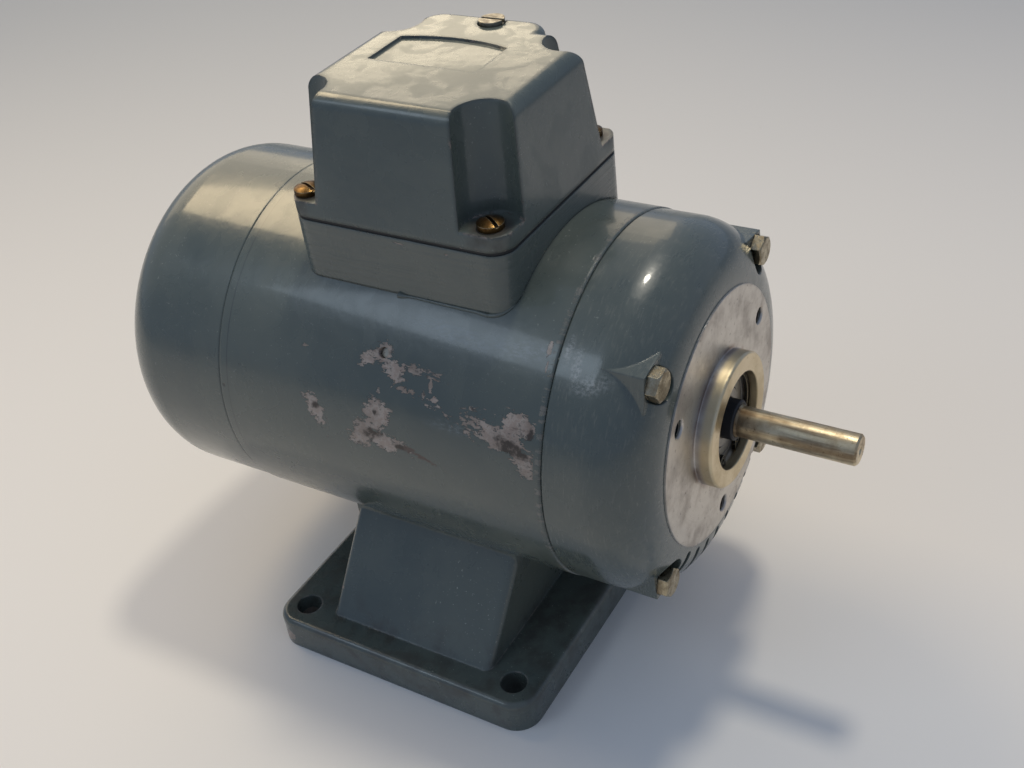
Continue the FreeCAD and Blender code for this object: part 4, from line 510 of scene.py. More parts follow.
def housing_enamel():
    """The drum's paint: torn patches on the near side, scuffed patches whose pale tint is partly
    a painted reflection, a worn rim at the front seam that also stands as a painted edge
    highlight, and a dark line at the rear.
    """
    material, tree, shader, spot, soft, results = enamel_base("drum_enamel", 0.5, 0.5)
    x, y, _, _ = axes(tree, spot)
    place = use_group(tree, "Unrolled Drum", {"Vector": spot})["Place"]
    near = ramp(tree, y, *NEAR_SIDE)
    # scuff marks on the near side, lightened with a pale blue-grey that is partly a painted
    # reflection
    scuffs_and_painted_sheen = product(tree, ramp(tree, nearest(tree, place, DRUM_SCUFFS_PAINTED_SHEEN), 3.0, -2.0), near,
                     ramp(tree, noise(tree, place, 0.8, 6.0, 0.7, (0.5, 1.0, 1.0)), 0.4, 0.7))
    results = tint_over(tree, results, product(tree, scuffs_and_painted_sheen, 0.5), colour(150, 158, 164), 0.3)
    rust = product(tree, torn(tree, place, nearest(tree, place, RUST_RUNS), 3.0, 6.0), near)
    results = tint_over(tree, results, product(tree, rust, 0.7), colour(72, 42, 34), 0.3)
    big = nearest(tree, place, HOLE_CHIP + LOW_CHIP + LEFT_CHIP + SEAM_CHIP)
    small = nearest(tree, place, SMALL_FLECKS)
    mask = widest(tree, torn(tree, place, big, 9.0, 11.0), torn(tree, place, small, 1.5, 5.0))
    mask = product(tree, mask, near, ramp(tree, x, *PAINT_END))
    # paint rubbed off in a band at the front seam, laid partly as a painted highlight along the
    # seam's edge
    rim = product(tree, band(tree, x, *FRONT_SEAM, 0.0002),
                  ramp(tree, noise(tree, place, 0.35, 6.0, 0.7, (0.3, 1.0, 1.0)), 0.5, 0.56))
    stains = ramp(tree, nearest(tree, place, DARK_STAINS), 1.0, -1.2)
    results = lose_paint(tree, spot, widest(tree, mask, product(tree, rim, 0.3)), stains,
                         results)
    line = band(tree, x, *REAR_LINE, 0.0001)
    results = tint_over(tree, results, product(tree, line, 0.5), colour(40, 44, 46))
    finish_material(tree, shader, results, soft, 0.00012)
    return material


def shield_enamel():
    """Enamel with scuffed patches by the lugs, their pale tint partly a painted reflection,
    ending at the turned bare mounting face, whose spigot ring is tinted gold as a painted
    reflection.
    """
    look = bpy.context.scene.motor_metal
    material, tree, shader, spot, soft, results = enamel_base("shield_enamel", 0.5, 0.4, 0.5,
                                                              0.9 * MM)
    x, y, _, far = axes(tree, spot)
    place = use_group(tree, "Unrolled Drum", {"Vector": spot})["Place"]
    streaks = ramp(tree, noise(tree, place, 0.5, 5.0, 0.7, (2.4, 0.35, 1.0)), 0.5, 0.72)
    near = ramp(tree, y, *NEAR_SIDE)
    # scuff marks by the lug, their whitish tint partly a painted reflection
    scuffs_and_painted_sheen = product(tree, ramp(tree, nearest(tree, place, SHIELD_SCUFFS_PAINTED_SHEEN), 3.0, -2.0), near,
                     ramp(tree, noise(tree, place, 0.9, 6.0, 0.7), 0.42, 0.62))
    results = tint_over(tree, results, product(tree, scuffs_and_painted_sheen, 0.6), colour(168, 170, 168), 0.3)
    results = tint_over(tree, results, product(tree, streaks, 0.2), colour(150, 146, 132), 0.5)
    wear = edge_wear(tree, spot, soft, 0.05)
    results = lose_paint(tree, spot, wear, 0.1, results)
    face = product(tree, ramp(tree, x, FACE_FRONT - 0.0009, FACE_FRONT - 0.0006),
                   ramp(tree, far, DISC_RADIUS + 0.0001, DISC_RADIUS - 0.0001))
    metal = use_group(tree, "Turned Metal", {
        "Vector": spot, "Metal": (*look.face, 1.0), "Tarnish": (*look.tarnish, 1.0),
        "Amount": 0.45, "Rings": 0.6})
    root = product(tree, band(tree, far, RING_RADIUS, RING_RADIUS + 0.0012, 0.0014),
                   ramp(tree, noise(tree, spot, 90.0, 4.0), 0.35, 0.6),
                   ramp(tree, x, FACE_FRONT + 0.003, FACE_FRONT + 0.001))
    rust = blend(tree, product(tree, root, 0.85), metal["Color"], colour(104, 62, 36))
    # painted reflection: the spigot ring standing out beyond the face is tinted gold
    painted_gilt_reflection = product(tree, ramp(tree, x, FACE_FRONT + 0.001, FACE_FRONT + 0.003), 0.6)
    rust = blend(tree, painted_gilt_reflection, rust, colour(222, 200, 150))
    final = {"Color": blend(tree, face, results["Color"], rust),
             "Roughness": mix(tree, face, results["Roughness"], metal["Roughness"]),
             "Height": mix(tree, face, results["Height"], metal["Height"])}
    finish_material(tree, shader, final, soft, 0.0001, face)
    tree.links.new(product(tree, calc(tree, "SUBTRACT", 1.0, face), look.coat_share),
                   shader.inputs["Coat Weight"])
    return material


def rear_cover_enamel():
    """Enamel of the rear cover, more nicked than the drum."""
    material, tree, shader, _, soft, results = enamel_base("rear_cover_enamel", 0.8, 0.6)
    finish_material(tree, shader, results, soft, 0.00012)
    return material


def box_base_enamel():
    """The box base: level brush lines, a small chip on the front and worn upper rim."""
    material, tree, shader, spot, soft, results = enamel_base("box_base_enamel", 0.3, 0.3)
    x, y, z, _ = axes(tree, spot)
    lines = noise(tree, spot, 60.0, 4.0, 0.6, (0.15, 0.15, 14.0))
    results = {"Color": results["Color"], "Roughness": results["Roughness"],
               "Height": total(tree, results["Height"], product(tree, lines, 2.4))}
    place = flat_place(tree, x, z)
    chip = nearest(tree, place, ((7.3, 175.2, 1.8, 0.3, -8), (26.0, 174.6, 0.7, 0.4, 0)))
    chip = product(tree, torn(tree, place, chip, 0.3, 0.9), ramp(tree, y, -0.0400, -0.0405))
    wear = product(tree, edge_wear(tree, spot, soft, 0.12), ramp(tree, z, *BOX_RIM))
    results = lose_paint(tree, spot, widest(tree, chip, wear), 0.0, results)
    finish_material(tree, shader, results, soft, 0.00012)
    return material


def box_cover_enamel():
    """The box cover: blotchy gloss on top, rubbed edges and a darker brown round the four screws,
    low in their pockets.
    """
    material, tree, shader, spot, soft, results = enamel_base("box_cover_enamel", 0.9, 0.5, 1.0,
                                                              2.2 * MM)
    x, y, z, _ = axes(tree, spot)
    across = calc(tree, "ABSOLUTE", calc(tree, "SUBTRACT", x, LID_SCREW_CENTRE))
    aside = calc(tree, "SUBTRACT", across, LID_SCREW_SPREAD[0] / 2.0)
    behind = calc(tree, "SUBTRACT", calc(tree, "ABSOLUTE", y), LID_SCREW_SPREAD[1] / 2.0)
    gap = reach_of(tree, aside, behind)
    low = ramp(tree, z, LID_LEDGE + 0.010, LID_LEDGE)
    cloud = noise(tree, spot, 190.0, 5.0, 0.6)
    # darker brown round the four screws, strongest low in their pockets
    darkening = product(tree, ramp(tree, total(tree, gap, product(tree, cloud, 0.006)), 0.0125,
                               0.0075), low)
    results = tint_over(tree, results, product(tree, darkening, 0.85), colour(52, 42, 32), 0.35)
    wear = widest(tree, edge_wear(tree, spot, soft, 0.13),
                  product(tree, edge_wear(tree, spot, soft, 0.24),
                          band(tree, z, LID_LEDGE - 0.001, LID_LEDGE + 0.0006, 0.0006)))
    results = lose_paint(tree, spot, wear, 0.1, results)
    finish_material(tree, shader, results, soft, 0.00014)
    return material


def foot_enamel():
    """The foot's paint, dusty and darker towards the plate, chipped along the plate's top edge.
    """
    material, tree, shader, spot, soft, results = enamel_base("foot_enamel", 0.5, 0.8, 0.4)
    x, y, z, _ = axes(tree, spot)
    # darker towards the plate's top
    darkening = product(tree, ramp(tree, noise(tree, spot, 120.0, 6.0, 0.65), 0.42, 0.66),
                    ramp(tree, z, PLATE_TOP + 0.012, PLATE_TOP))
    results = tint_over(tree, results, product(tree, darkening, 0.55), colour(58, 54, 48), 0.15)
    edge = product(tree, edge_wear(tree, spot, soft, 0.24),
                   band(tree, z, PLATE_EDGE, PLATE_TOP, 0.0006))
    place = flat_place(tree, x, z)
    flecks = nearest(tree, place, ((-35.0, 26.4, 0.4, 1.4, 20), (-34.4, 22.0, 0.8, 0.5, 0),
                                   (-52.5, 4.0, 4.0, 2.6, 30)))
    flecks = product(tree, torn(tree, place, flecks, 0.8, 1.6), ramp(tree, y, -0.03, -0.04))
    results = lose_paint(tree, spot, widest(tree, edge, flecks), 0.0, results)
    finish_material(tree, shader, results, soft, 0.00012)
    return material


def turned_metal(name, metal, tarnish, amount, rings=0.4):
    """Bare machined metal."""
    material, tree, shader, spot, soft = start_material(name, 0.3 * MM)
    results = use_group(tree, "Turned Metal", {
        "Vector": spot, "Metal": metal, "Tarnish": tarnish, "Amount": amount,
        "Rings": rings})
    finish_material(tree, shader, results, soft, 0.00004, 1.0)
    return material


def shaft_steel():
    """The shaft: warm turned steel with brown streaks along it, darker and browner towards the
    shield end.
    """
    material, tree, shader, spot, soft = start_material("shaft_steel", 0.3 * MM)
    results = use_group(tree, "Turned Metal", {
        "Vector": spot, "Metal": colour(222, 206, 172), "Tarnish": colour(134, 102, 66),
        "Amount": 0.55, "Rings": 0.4})
    x, _, _, _ = axes(tree, spot)
    streak = noise(tree, spot, 300.0, 4.0, 0.6, (0.06, 1.0, 1.0))
    results = tint_over(tree, results, product(tree, ramp(tree, streak, 0.5, 0.66), 0.6),
                        colour(84, 60, 38), 0.1)
    root = product(tree, ramp(tree, x, 0.121, 0.110),
                   ramp(tree, noise(tree, spot, 160.0, 5.0), 0.3, 0.6))
    results = tint_over(tree, results, product(tree, root, 0.7), colour(70, 48, 30), 0.2)
    finish_material(tree, shader, results, soft, 0.00004, 1.0)
    return material


def hardware_metal(name, plating, patina, amount, polish):
    """Plated or plain small hardware."""
    material, tree, shader, spot, soft = start_material(name, 0.35 * MM)
    results = use_group(tree, "Hardware Patina", {
        "Vector": spot, "Plating": plating, "Patina": patina, "Amount": amount,
        "Polish": polish, "Edge": soft["Edge"]})
    finish_material(tree, shader, results, soft, 0.00003, 1.0)
    return material


def soft_plain(name, tint, worn, rough):
    """Rubber, plastic, varnish and insulation: a mottled tint with a fine grain."""
    material, tree, shader, spot, soft = start_material(name, 0.3 * MM)
    clouds = noise(tree, spot, 60.0, 5.0, 0.6)
    grain = noise(tree, spot, 400.0, 4.0, 0.6)
    results = {"Color": blend(tree, ramp(tree, clouds, 0.35, 0.7), tint, worn),
               "Roughness": calc(tree, "MULTIPLY_ADD", grain, 0.2, rough), "Height": grain}
    finish_material(tree, shader, results, soft, 0.05 * MM)
    return material


# settings

class MotorEnamelSettings(bpy.types.PropertyGroup):
    """Colours and gloss of the blue-grey enamel."""
    paint: FloatVectorProperty(
        name="Paint", description="Blue-grey enamel colour", subtype="COLOR", size=3,
        min=0.0, max=1.0, default=colour(73, 82, 78)[:3])
    faded: FloatVectorProperty(
        name="Faded paint", description="Greyer enamel where it has weathered",
        subtype="COLOR", size=3, min=0.0, max=1.0, default=colour(94, 99, 90)[:3])
    primer: FloatVectorProperty(
        name="Primer", description="Grey-pink ground that shows where paint is lost",
        subtype="COLOR", size=3, min=0.0, max=1.0, default=colour(150, 134, 122)[:3])
    gloss: FloatProperty(
        name="Gloss", description="Weight of the clear gloss over the paint",
        min=0.0, max=1.0, default=0.4, subtype="FACTOR")
    gloss_blur: FloatProperty(
        name="Gloss blur", description="Roughness of the clear gloss",
        min=0.0, max=1.0, default=0.09, subtype="FACTOR")


class MotorMetalSettings(bpy.types.PropertyGroup):
    """Colours of the machined and plated metals."""
    face: FloatVectorProperty(
        name="Machined face", description="Turned metal of the mounting face",
        subtype="COLOR", size=3, min=0.0, max=1.0, default=colour(204, 199, 192)[:3])
    tarnish: FloatVectorProperty(
        name="Tarnish", description="Brown tarnish on bare metal",
        subtype="COLOR", size=3, min=0.0, max=1.0, default=colour(122, 106, 92)[:3])
    brass: FloatVectorProperty(
        name="Screw brass", description="Aged yellow of the cover screws",
        subtype="COLOR", size=3, min=0.0, max=1.0, default=colour(118, 92, 54)[:3])
    coat_share: FloatProperty(
        name="Shield gloss", description="Weight of the clear gloss on the shield's paint",
        min=0.0, max=1.0, default=0.45, subtype="FACTOR")


class MotorFastenerSettings(bpy.types.PropertyGroup):
    """Sizes of the bolts, screws and threads."""
    bolt_count: IntProperty(
        name="Bolts", description="Bolts around the end shield", min=1, max=12, default=4)
    bolt_flats: FloatProperty(
        name="Bolt flats", description="Width across the flats of a bolt head",
        unit="LENGTH", min=0.004, max=0.02, default=0.0099)
    bolt_head: FloatProperty(
        name="Bolt head", description="Height of a bolt head", unit="LENGTH",
        min=0.001, max=0.01, default=0.004)
    bolt_radius: FloatProperty(
        name="Bolt radius", description="Radius of a bolt's shank", unit="LENGTH",
        min=0.001, max=0.01, default=0.0029)
    screw_head: FloatProperty(
        name="Screw head radius", description="Radius of a cover screw's head",
        unit="LENGTH", min=0.001, max=0.01, default=0.0045)
    screw_height: FloatProperty(
        name="Screw head height", description="Height of a cover screw's head",
        unit="LENGTH", min=0.001, max=0.01, default=0.0030)
    slot_width: FloatProperty(
        name="Slot width", description="Width of a cover screw's slot", unit="LENGTH",
        min=0.0002, max=0.004, default=0.0012)
    screw_shank: FloatProperty(
        name="Screw shank", description="Length of a cover screw below its head",
        unit="LENGTH", min=0.001, max=0.02, default=0.0125)
    thread_pitch: FloatProperty(
        name="Thread pitch", description="Rise of the tapped holes' thread in one turn",
        unit="LENGTH", min=0.0002, max=0.003, default=0.001)
    thread_turns: IntProperty(
        name="Thread turns", description="Turns of thread in each tapped hole",
        min=1, max=20, default=7)


class MotorStageSettings(bpy.types.PropertyGroup):
    """Floor colour and lamp strengths."""
    floor: FloatVectorProperty(
        name="Floor", description="Pale floor colour", subtype="COLOR", size=3,
        min=0.0, max=1.0, default=colour(240, 234, 226)[:3])
    level: FloatProperty(
        name="Light level", description="Multiplies every lamp", min=0.0, max=5.0,
        default=1.0)


# fasteners by geometry nodes

def shape(tree, kind, inputs):
    """A mesh primitive's geometry socket."""
    return put(tree, kind, inputs).outputs["Mesh"]


def moved(tree, geometry, offset=None, turn=None):
    """A geometry moved and turned."""
    return put(tree, "GeometryNodeTransform", {
        "Geometry": geometry, "Translation": offset if offset is not None else (0.0, 0.0, 0.0),
        "Rotation": turn if turn is not None else (0.0, 0.0, 0.0)}).outputs["Geometry"]


def joined(tree, *geometries):
    node = tree.nodes.new("GeometryNodeJoinGeometry")
    for geometry in geometries:
        tree.links.new(geometry, node.inputs[0])
    return node.outputs[0]


def overlap(tree, *geometries):
    """What several closed meshes have in common."""
    node = put(tree, "GeometryNodeMeshBoolean", operation="INTERSECT", solver="EXACT")
    for geometry in geometries:
        tree.links.new(geometry, node.inputs[1])
    return node.outputs["Mesh"]


def without(tree, geometry, tool):
    return put(tree, "GeometryNodeMeshBoolean", {0: geometry, 1: tool},
               operation="DIFFERENCE", solver="EXACT").outputs["Mesh"]


def close_tree(tree, end, points, piece, turn, material):
    """Sets the piece on every point, turned by chance, and gives it its material."""
    placed = put(tree, "GeometryNodeInstanceOnPoints", {
        "Points": points, "Instance": piece, "Rotation": turn}).outputs["Instances"]
    real = put(tree, "GeometryNodeRealizeInstances", {"Geometry": placed}).outputs[0]
    send(tree, end, Geometry=put(tree, "GeometryNodeSetMaterial", {
        "Geometry": real, "Material": material}).outputs[0])


def chance_turn(tree, most, axis, seed):
    """A random turn about one axis, the same in every run."""
    value = put(tree, "FunctionNodeRandomValue", {"Max": most, "Seed": seed},
                data_type="FLOAT").outputs[1]
    return vector(tree, {axis: value})


def hexagon_bolt_tree():
    """Bolts in a circle round the shaft line, heads chamfered, shanks toward the drum."""
    tree, start, end = new_group("Hexagon Bolts", [
        ("Count", "NodeSocketInt", 4), ("Circle", FLOAT, BOLT_CIRCLE),
        ("Seat", FLOAT, BOLT_SEAT), ("Flats", FLOAT, 0.01), ("Head", FLOAT, 0.004),
        ("Shank", FLOAT, 0.003), ("Reach", FLOAT, BOLT_REACH),
        ("Material", "NodeSocketMaterial", None)],
        [("Geometry", "NodeSocketGeometry")], "GeometryNodeTree")
    head, flats = start["Head"], start["Flats"]
    half = product(tree, flats, 0.5)
    lift = vector(tree, {"Z": product(tree, head, 0.5)})
    blank = moved(tree, shape(tree, "GeometryNodeMeshCylinder", {
        "Vertices": 6, "Radius": calc(tree, "DIVIDE", half, math.cos(math.radians(30.0))),
        "Depth": head}), lift)
    slope = calc(tree, "DIVIDE", head, math.tan(math.radians(30.0)))
    crown = moved(tree, shape(tree, "GeometryNodeMeshCone", {
        "Vertices": 64, "Radius Top": product(tree, half, 0.93),
        "Radius Bottom": total(tree, product(tree, half, 0.93), slope), "Depth": head}))
    reach = start["Reach"]
    drop = vector(tree, {"Z": product(tree, reach, -0.5)})
    shank = moved(tree, shape(tree, "GeometryNodeMeshCylinder", {
        "Vertices": 32, "Radius": start["Shank"], "Depth": reach}), drop)
    bolt = moved(tree, joined(tree, overlap(tree, blank, crown), shank),
                 turn=(0.0, math.radians(90.0), 0.0))
    ring = put(tree, "GeometryNodeMeshCircle", {
        "Vertices": start["Count"], "Radius": start["Circle"]}).outputs[0]
    ring = moved(tree, ring, turn=(0.0, 0.0, math.radians(45.0)))
    place = vector(tree, {
        "X": start["Seat"], "Z": SHAFT_HEIGHT})
    ring = moved(tree, ring, place, (0.0, math.radians(90.0), 0.0))
    close_tree(tree, end, ring, bolt, chance_turn(tree, math.radians(60.0), "X", 5),
               start["Material"])
    return tree


def cover_screw_tree():
    """Domed slotted screws at the corners of a rectangle, worn round at the rim."""
    tree, start, end = new_group("Cover Screws", [
        ("Spread X", FLOAT, LID_SCREW_SPREAD[0]), ("Spread Y", FLOAT, LID_SCREW_SPREAD[1]),
        ("Seat", FLOAT, LID_LEDGE), ("Head Radius", FLOAT, 0.0045), ("Height", FLOAT, 0.003),
        ("Slot", FLOAT, 0.0012), ("Shank Length", FLOAT, 0.0125),
        ("Material", "NodeSocketMaterial", None)],
        [("Geometry", "NodeSocketGeometry")], "GeometryNodeTree")
    radius, height = start["Head Radius"], start["Height"]
    lift = vector(tree, {"Z": product(tree, height, 0.5)})
    blank = moved(tree, shape(tree, "GeometryNodeMeshCylinder", {
        "Vertices": 64, "Radius": radius, "Depth": height}), lift)
    dome_radius = product(tree, radius, 2.2)
    dome_drop = vector(tree, {
        "Z": calc(tree, "SUBTRACT", height, dome_radius)})
    dome = moved(tree, shape(tree, "GeometryNodeMeshUVSphere", {
        "Segments": 64, "Rings": 48, "Radius": dome_radius}), dome_drop)
    width = product(tree, radius, 3.0)
    size = vector(tree, {
        "X": width, "Y": start["Slot"], "Z": height})
    rise = vector(tree, {"Z": height})
    tool = moved(tree, shape(tree, "GeometryNodeMeshCube", {"Size": size}), rise)
    head = without(tree, overlap(tree, blank, dome), tool)
    length = start["Shank Length"]
    drop = vector(tree, {"Z": product(tree, length, -0.5)})
    shank = moved(tree, shape(tree, "GeometryNodeMeshCylinder", {
        "Vertices": 24, "Radius": product(tree, radius, 0.55), "Depth": length}), drop)
    place = vector(tree, {
        "X": LID_SCREW_CENTRE, "Z": start["Seat"]})
    corners = moved(tree, put(tree, "GeometryNodeMeshGrid", {
        "Size X": start["Spread X"], "Size Y": start["Spread Y"], "Vertices X": 2,
        "Vertices Y": 2}).outputs["Mesh"], place)
    close_tree(tree, end, corners, joined(tree, head, shank),
               chance_turn(tree, math.radians(180.0), "Z", 3), start["Material"])
    return tree


def tapped_thread_tree():
    """A thread's helix in each tapped hole of the mounting face."""
    tree, start, end = new_group("Tapped Threads", [
        ("Turns", "NodeSocketInt", 7), ("Pitch", FLOAT, 0.001),
        ("Radius", FLOAT, TAPPED_RADIUS), ("Circle", FLOAT, TAPPED_CIRCLE),
        ("Material", "NodeSocketMaterial", None)],
        [("Geometry", "NodeSocketGeometry")], "GeometryNodeTree")
    rise = product(tree, start["Turns"], start["Pitch"])
    line = calc(tree, "SUBTRACT", start["Radius"], product(tree, start["Pitch"], 0.12))
    helix = put(tree, "GeometryNodeCurveSpiral", {
        "Resolution": 28, "Rotations": start["Turns"], "Start Radius": line,
        "End Radius": line, "Height": rise}).outputs[0]
    profile = put(tree, "GeometryNodeCurvePrimitiveCircle", {
        "Resolution": 4, "Radius": product(tree, start["Pitch"], 0.42)}, mode="RADIUS")
    thread = put(tree, "GeometryNodeCurveToMesh", {
        "Curve": helix, "Profile Curve": profile.outputs["Curve"],
        "Fill Caps": True}).outputs[0]
    back = vector(tree, {
        "X": calc(tree, "SUBTRACT", -0.0012, rise)})
    thread = moved(tree, thread, back, (0.0, math.radians(90.0), 0.0))
    ring = put(tree, "GeometryNodeMeshCircle", {
        "Vertices": 3, "Radius": start["Circle"]}).outputs[0]
    place = vector(tree, {"X": FACE_FRONT, "Z": SHAFT_HEIGHT})
    ring = moved(tree, ring, place, (0.0, math.radians(90.0), 0.0))
    close_tree(tree, end, ring, thread, chance_turn(tree, 0.1, "X", 2), start["Material"])
    return tree


def grow(name, tree, values, material):
    """A plain mesh of what a geometry tree makes with these inputs."""
    data = bpy.data.meshes.new(name)
    seedling = bpy.data.objects.new(name, data)
    bpy.context.scene.collection.objects.link(seedling)
    modifier = seedling.modifiers.new("grow", "NODES")
    modifier.node_group = tree
    for socket in tree.interface.items_tree:
        if socket.in_out == "INPUT" and socket.name in values:
            modifier[socket.identifier] = values[socket.name]
        elif socket.in_out == "INPUT" and socket.name == "Material":
            modifier[socket.identifier] = material
    bpy.context.view_layer.update()
    grown = seedling.evaluated_get(bpy.context.evaluated_depsgraph_get())
    mesh = bpy.data.meshes.new_from_object(grown)
    if not mesh.polygons:
        raise RuntimeError("%s made no faces" % name)
    seedling.modifiers.clear()
    seedling.data = mesh
    mesh.name = name
    bpy.data.meshes.remove(data)
    return seedling


def paint_bead(material):
    """The thick edge of paint left along the foot of the terminal box, with a drip."""
    line = bpy.data.curves.new("paint_bead", "CURVE")
    line.dimensions = "3D"
    line.bevel_depth = 0.6 * MM
    line.bevel_resolution = 4
    line.use_fill_caps = True
    path = line.splines.new("BEZIER")
    corners = ((4.0, -41.2, 155.0, 2.0), (5.4, -41.2, 154.8, 1.6), (8.0, -41.1, 155.0, 0.8),
               (22.0, -41.1, 155.0, 0.9), (34.0, -41.1, 155.0, 1.0), (41.0, -41.0, 155.1, 1.2),
               (45.4, -38.6, 156.9, 0.9), (47.6, -34.0, 159.8, 0.4))
    path.bezier_points.add(len(corners) - 1)
    for point, (x, y, z, girth) in zip(path.bezier_points, corners):
        point.co = (x * MM, y * MM, z * MM)
        point.radius = girth
        point.handle_left_type = point.handle_right_type = "AUTO"
    bead = bpy.data.objects.new("paint_bead", line)
    bpy.context.scene.collection.objects.link(bead)
    mesh = bpy.data.meshes.new_from_object(
        bead.evaluated_get(bpy.context.evaluated_depsgraph_get()))
    mesh.materials.clear()
    mesh.materials.append(material)
    bpy.data.objects.remove(bead)
    piece = bpy.data.objects.new("paint_bead", mesh)
    bpy.context.scene.collection.objects.link(piece)
    return piece


# operators

def give(material, *nodes):
    """Puts one material on all slots of the named CAD nodes."""
    for node in nodes:
        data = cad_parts[node].data
        data.materials.clear()
        data.materials.append(material)


class MOTOR_OT_shared_effects(bpy.types.Operator):
    """Builds the node groups that the finishes share"""
    bl_idname = "motor.shared_effects"
    bl_label = "Shared effects"

    def execute(self, context):
        build_enamel_group()
        build_reach_group()
        build_unrolled_group()
        build_bare_group()
        build_turned_group()
        build_patina_group()
        build_edge_group()
        return {"FINISHED"}


class MOTOR_OT_castings(bpy.types.Operator):
    """Paints the drum, shields, terminal box and foot"""
    bl_idname = "motor.castings"
    bl_label = "Painted castings"

    def execute(self, context):
        give(housing_enamel(), "stator_housing")
        give(shield_enamel(), "front_end_shield")
        give(rear_cover_enamel(), "rear_cover")
        base = box_base_enamel()
        give(base, "terminal_box_base")
        give(box_cover_enamel(), "terminal_box_cover")
        give(foot_enamel(), "foot_pedestal")
        bead = paint_bead(base)
        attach(bead, "motor_frame")
        return {"FINISHED"}


class MOTOR_OT_machined_parts(bpy.types.Operator):
    """Finishes the shaft, bearings, core and other inner pieces"""
    bl_idname = "motor.machined_parts"
    bl_label = "Machined and inner parts"

    def execute(self, context):
        give(shaft_steel(), "rotor_shaft")
        for kind, rows in ((turned_metal, TURNED), (hardware_metal, HARDWARE),
                           (soft_plain, SOFT)):
            for name, (tint, worn, *finish), nodes in rows:
                give(kind(name, colour(*tint), colour(*worn), *finish), *nodes)
        return {"FINISHED"}


class MOTOR_OT_fasteners(bpy.types.Operator):
    """Makes the chamfered bolts, the worn cover screws and the tapped threads"""
    bl_idname = "motor.fasteners"
    bl_label = "Bolts, screws and threads"

    def execute(self, context):
        sizes, look = context.scene.motor_fasteners, context.scene.motor_metal
        zinc = hardware_metal("yellow_zinc_steel", colour(172, 162, 138), colour(88, 68, 44),
                              0.6, 0.24)
        give(zinc, "shield_bolts")
        bolts = grow("shield_bolts_chamfered", hexagon_bolt_tree(), {
            "Count": sizes.bolt_count, "Circle": BOLT_CIRCLE, "Seat": BOLT_SEAT,
            "Flats": sizes.bolt_flats, "Head": sizes.bolt_head, "Shank": sizes.bolt_radius,
            "Reach": BOLT_REACH}, zinc)
        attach(bolts, "motor_frame")
        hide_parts("shield_bolts")
        brass = hardware_metal("screw_brass", (*look.brass, 1.0), colour(62, 38, 18), 0.75, 0.26)
        give(brass, "terminal_cover_screws", "terminal_nuts", "terminal_links")
        screws = grow("cover_screws_worn", cover_screw_tree(), {
            "Spread X": LID_SCREW_SPREAD[0], "Spread Y": LID_SCREW_SPREAD[1],
            "Seat": LID_LEDGE, "Head Radius": sizes.screw_head, "Height": sizes.screw_height,
            "Slot": sizes.slot_width, "Shank Length": sizes.screw_shank}, brass)
        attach(screws, "motor_frame")
        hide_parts("terminal_cover_screws")
        bare = hardware_metal("thread_steel", colour(120, 116, 108), colour(50, 40, 32), 0.5,
                              0.3)
        threads = grow("face_hole_threads", tapped_thread_tree(), {
            "Turns": sizes.thread_turns, "Pitch": sizes.thread_pitch,
            "Radius": TAPPED_RADIUS, "Circle": TAPPED_CIRCLE}, bare)
        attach(threads, "motor_frame")
        return {"FINISHED"}


def area_lamp(name, azimuth, elevation, distance, width, height, tint, radiance):
    """A soft lamp that looks at the motor from a direction; radiance is its brightness."""
    turn, tilt = math.radians(azimuth), math.radians(elevation)
    way = Vector((math.cos(turn) * math.cos(tilt), math.sin(turn) * math.cos(tilt),
                  math.sin(tilt)))
    data = bpy.data.lights.new(name, "AREA")
    data.shape = "RECTANGLE" if height else "DISK"
    data.size = width
    area = math.pi * width * width / 4.0
    if height:
        data.size_y = height
        area = width * height
    data.energy = radiance * area * math.pi * bpy.context.scene.motor_stage.level
    data.color = tint
    lamp = bpy.data.objects.new(name, data)
    lamp.location = Vector(LAMP_AIM) + way * distance
    lamp.rotation_euler = way.to_track_quat("Z", "Y").to_euler()
    bpy.context.scene.collection.objects.link(lamp)


def floor_paper():
    """Pale paper with faint clouds and a few specks, graded from pale and warm at the front to
    darker grey-blue at the back as a painted fall-off of the light.
    """
    look = bpy.context.scene.motor_stage
    material, tree, shader, spot, soft = start_material("floor_paper", 0.0)
    clouds = noise(tree, spot, 2.0, 3.0)
    specks = ramp(tree, noise(tree, spot, 240.0, 2.0), 0.8, 0.82)
    x, y, _, _ = axes(tree, spot)
    # painted light fall-off: the floor goes from pale and warm at the front to darker grey-blue
    # at the back
    away = total(tree, product(tree, x, -0.5), product(tree, y, 0.865))
    tint = blend(tree, ramp(tree, away, -0.3, 0.9), (*look.floor, 1.0), colour(164, 168, 173))
    results = {"Color": blend(tree, specks, tint, colour(120, 112, 104)),
               "Roughness": calc(tree, "MULTIPLY_ADD", clouds, 0.1, 0.6), "Height": clouds}
    finish_material(tree, shader, results, soft, 0.0002)
    return material


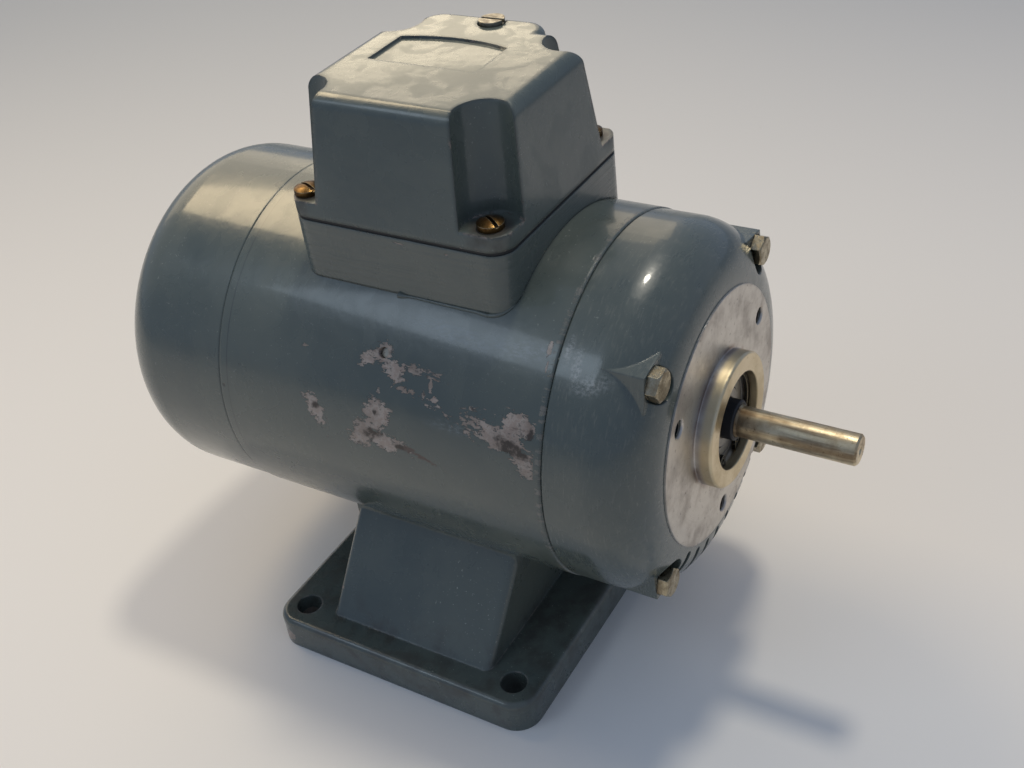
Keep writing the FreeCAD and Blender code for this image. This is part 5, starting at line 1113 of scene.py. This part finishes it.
class MOTOR_OT_stage(bpy.types.Operator):
    """Adds the floor, lamps, world and camera"""
    bl_idname = "motor.stage"
    bl_label = "Studio"

    def execute(self, context):
        bpy.ops.mesh.primitive_plane_add(size=12.0, location=(0.0, 0.0, 0.0))
        floor = context.active_object
        floor.name = "studio_floor"
        floor.data.materials.append(floor_paper())

        world = bpy.data.worlds.new("studio_world")
        world.use_nodes = True
        tree = world.node_tree
        sky = tree.nodes["Background"].inputs
        seen = tree.nodes.new("ShaderNodeLightPath").outputs["Is Camera Ray"]
        tree.links.new(blend(tree, seen, SKY_LIGHT, colour(*SKY_SEEN)),
                       sky["Color"])
        sky["Strength"].default_value = 1.0
        context.scene.world = world

        for name, values in LAMPS.items():
            area_lamp(name, *values)

        data = bpy.data.cameras.new("photo_camera")
        data.lens = CAMERA_LENS
        data.sensor_width = SENSOR_WIDTH
        data.sensor_fit = "HORIZONTAL"
        data.clip_start = 0.01
        camera = bpy.data.objects.new("photo_camera", data)
        camera.location = CAMERA_PLACE
        camera.rotation_euler = Euler(CAMERA_TURN, "XYZ")
        context.scene.collection.objects.link(camera)
        context.scene.camera = camera
        context.scene.view_settings.view_transform = "Standard"
        return {"FINISHED"}


class MOTOR_PT_panel(bpy.types.Panel):
    """Lists the motor's settings and steps"""
    bl_idname = "MOTOR_PT_panel"
    bl_label = "Demonstration motor"
    bl_space_type = "VIEW_3D"
    bl_region_type = "UI"
    bl_category = "Motor"

    def draw(self, context):
        layout = self.layout
        for name in ("motor_enamel", "motor_metal", "motor_fasteners", "motor_stage"):
            settings = getattr(context.scene, name)
            column = layout.column(align=True)
            for key in settings.bl_rna.properties.keys():
                if key not in ("rna_type", "name"):
                    column.prop(settings, key)
        for operator in OPERATORS:
            layout.operator(operator.bl_idname)


OPERATORS = (MOTOR_OT_shared_effects, MOTOR_OT_castings, MOTOR_OT_machined_parts,
             MOTOR_OT_fasteners, MOTOR_OT_stage)
SETTINGS = (("motor_enamel", MotorEnamelSettings), ("motor_metal", MotorMetalSettings),
            ("motor_fasteners", MotorFastenerSettings), ("motor_stage", MotorStageSettings))


def register():
    """Registers the settings, operators and panel."""
    for name, settings in SETTINGS:
        bpy.utils.register_class(settings)
        setattr(bpy.types.Scene, name, PointerProperty(type=settings))
    for operator in OPERATORS:
        bpy.utils.register_class(operator)
    bpy.utils.register_class(MOTOR_PT_panel)


def unregister():
    """Removes what register added."""
    bpy.utils.unregister_class(MOTOR_PT_panel)
    for operator in reversed(OPERATORS):
        bpy.utils.unregister_class(operator)
    for name, settings in reversed(SETTINGS):
        delattr(bpy.types.Scene, name)
        bpy.utils.unregister_class(settings)


def main():
    """Dresses the motor."""
    register()
    for operator in OPERATORS:
        family, name = operator.bl_idname.split(".")
        getattr(getattr(bpy.ops, family), name)()


if __name__ == "__main__":
    main()
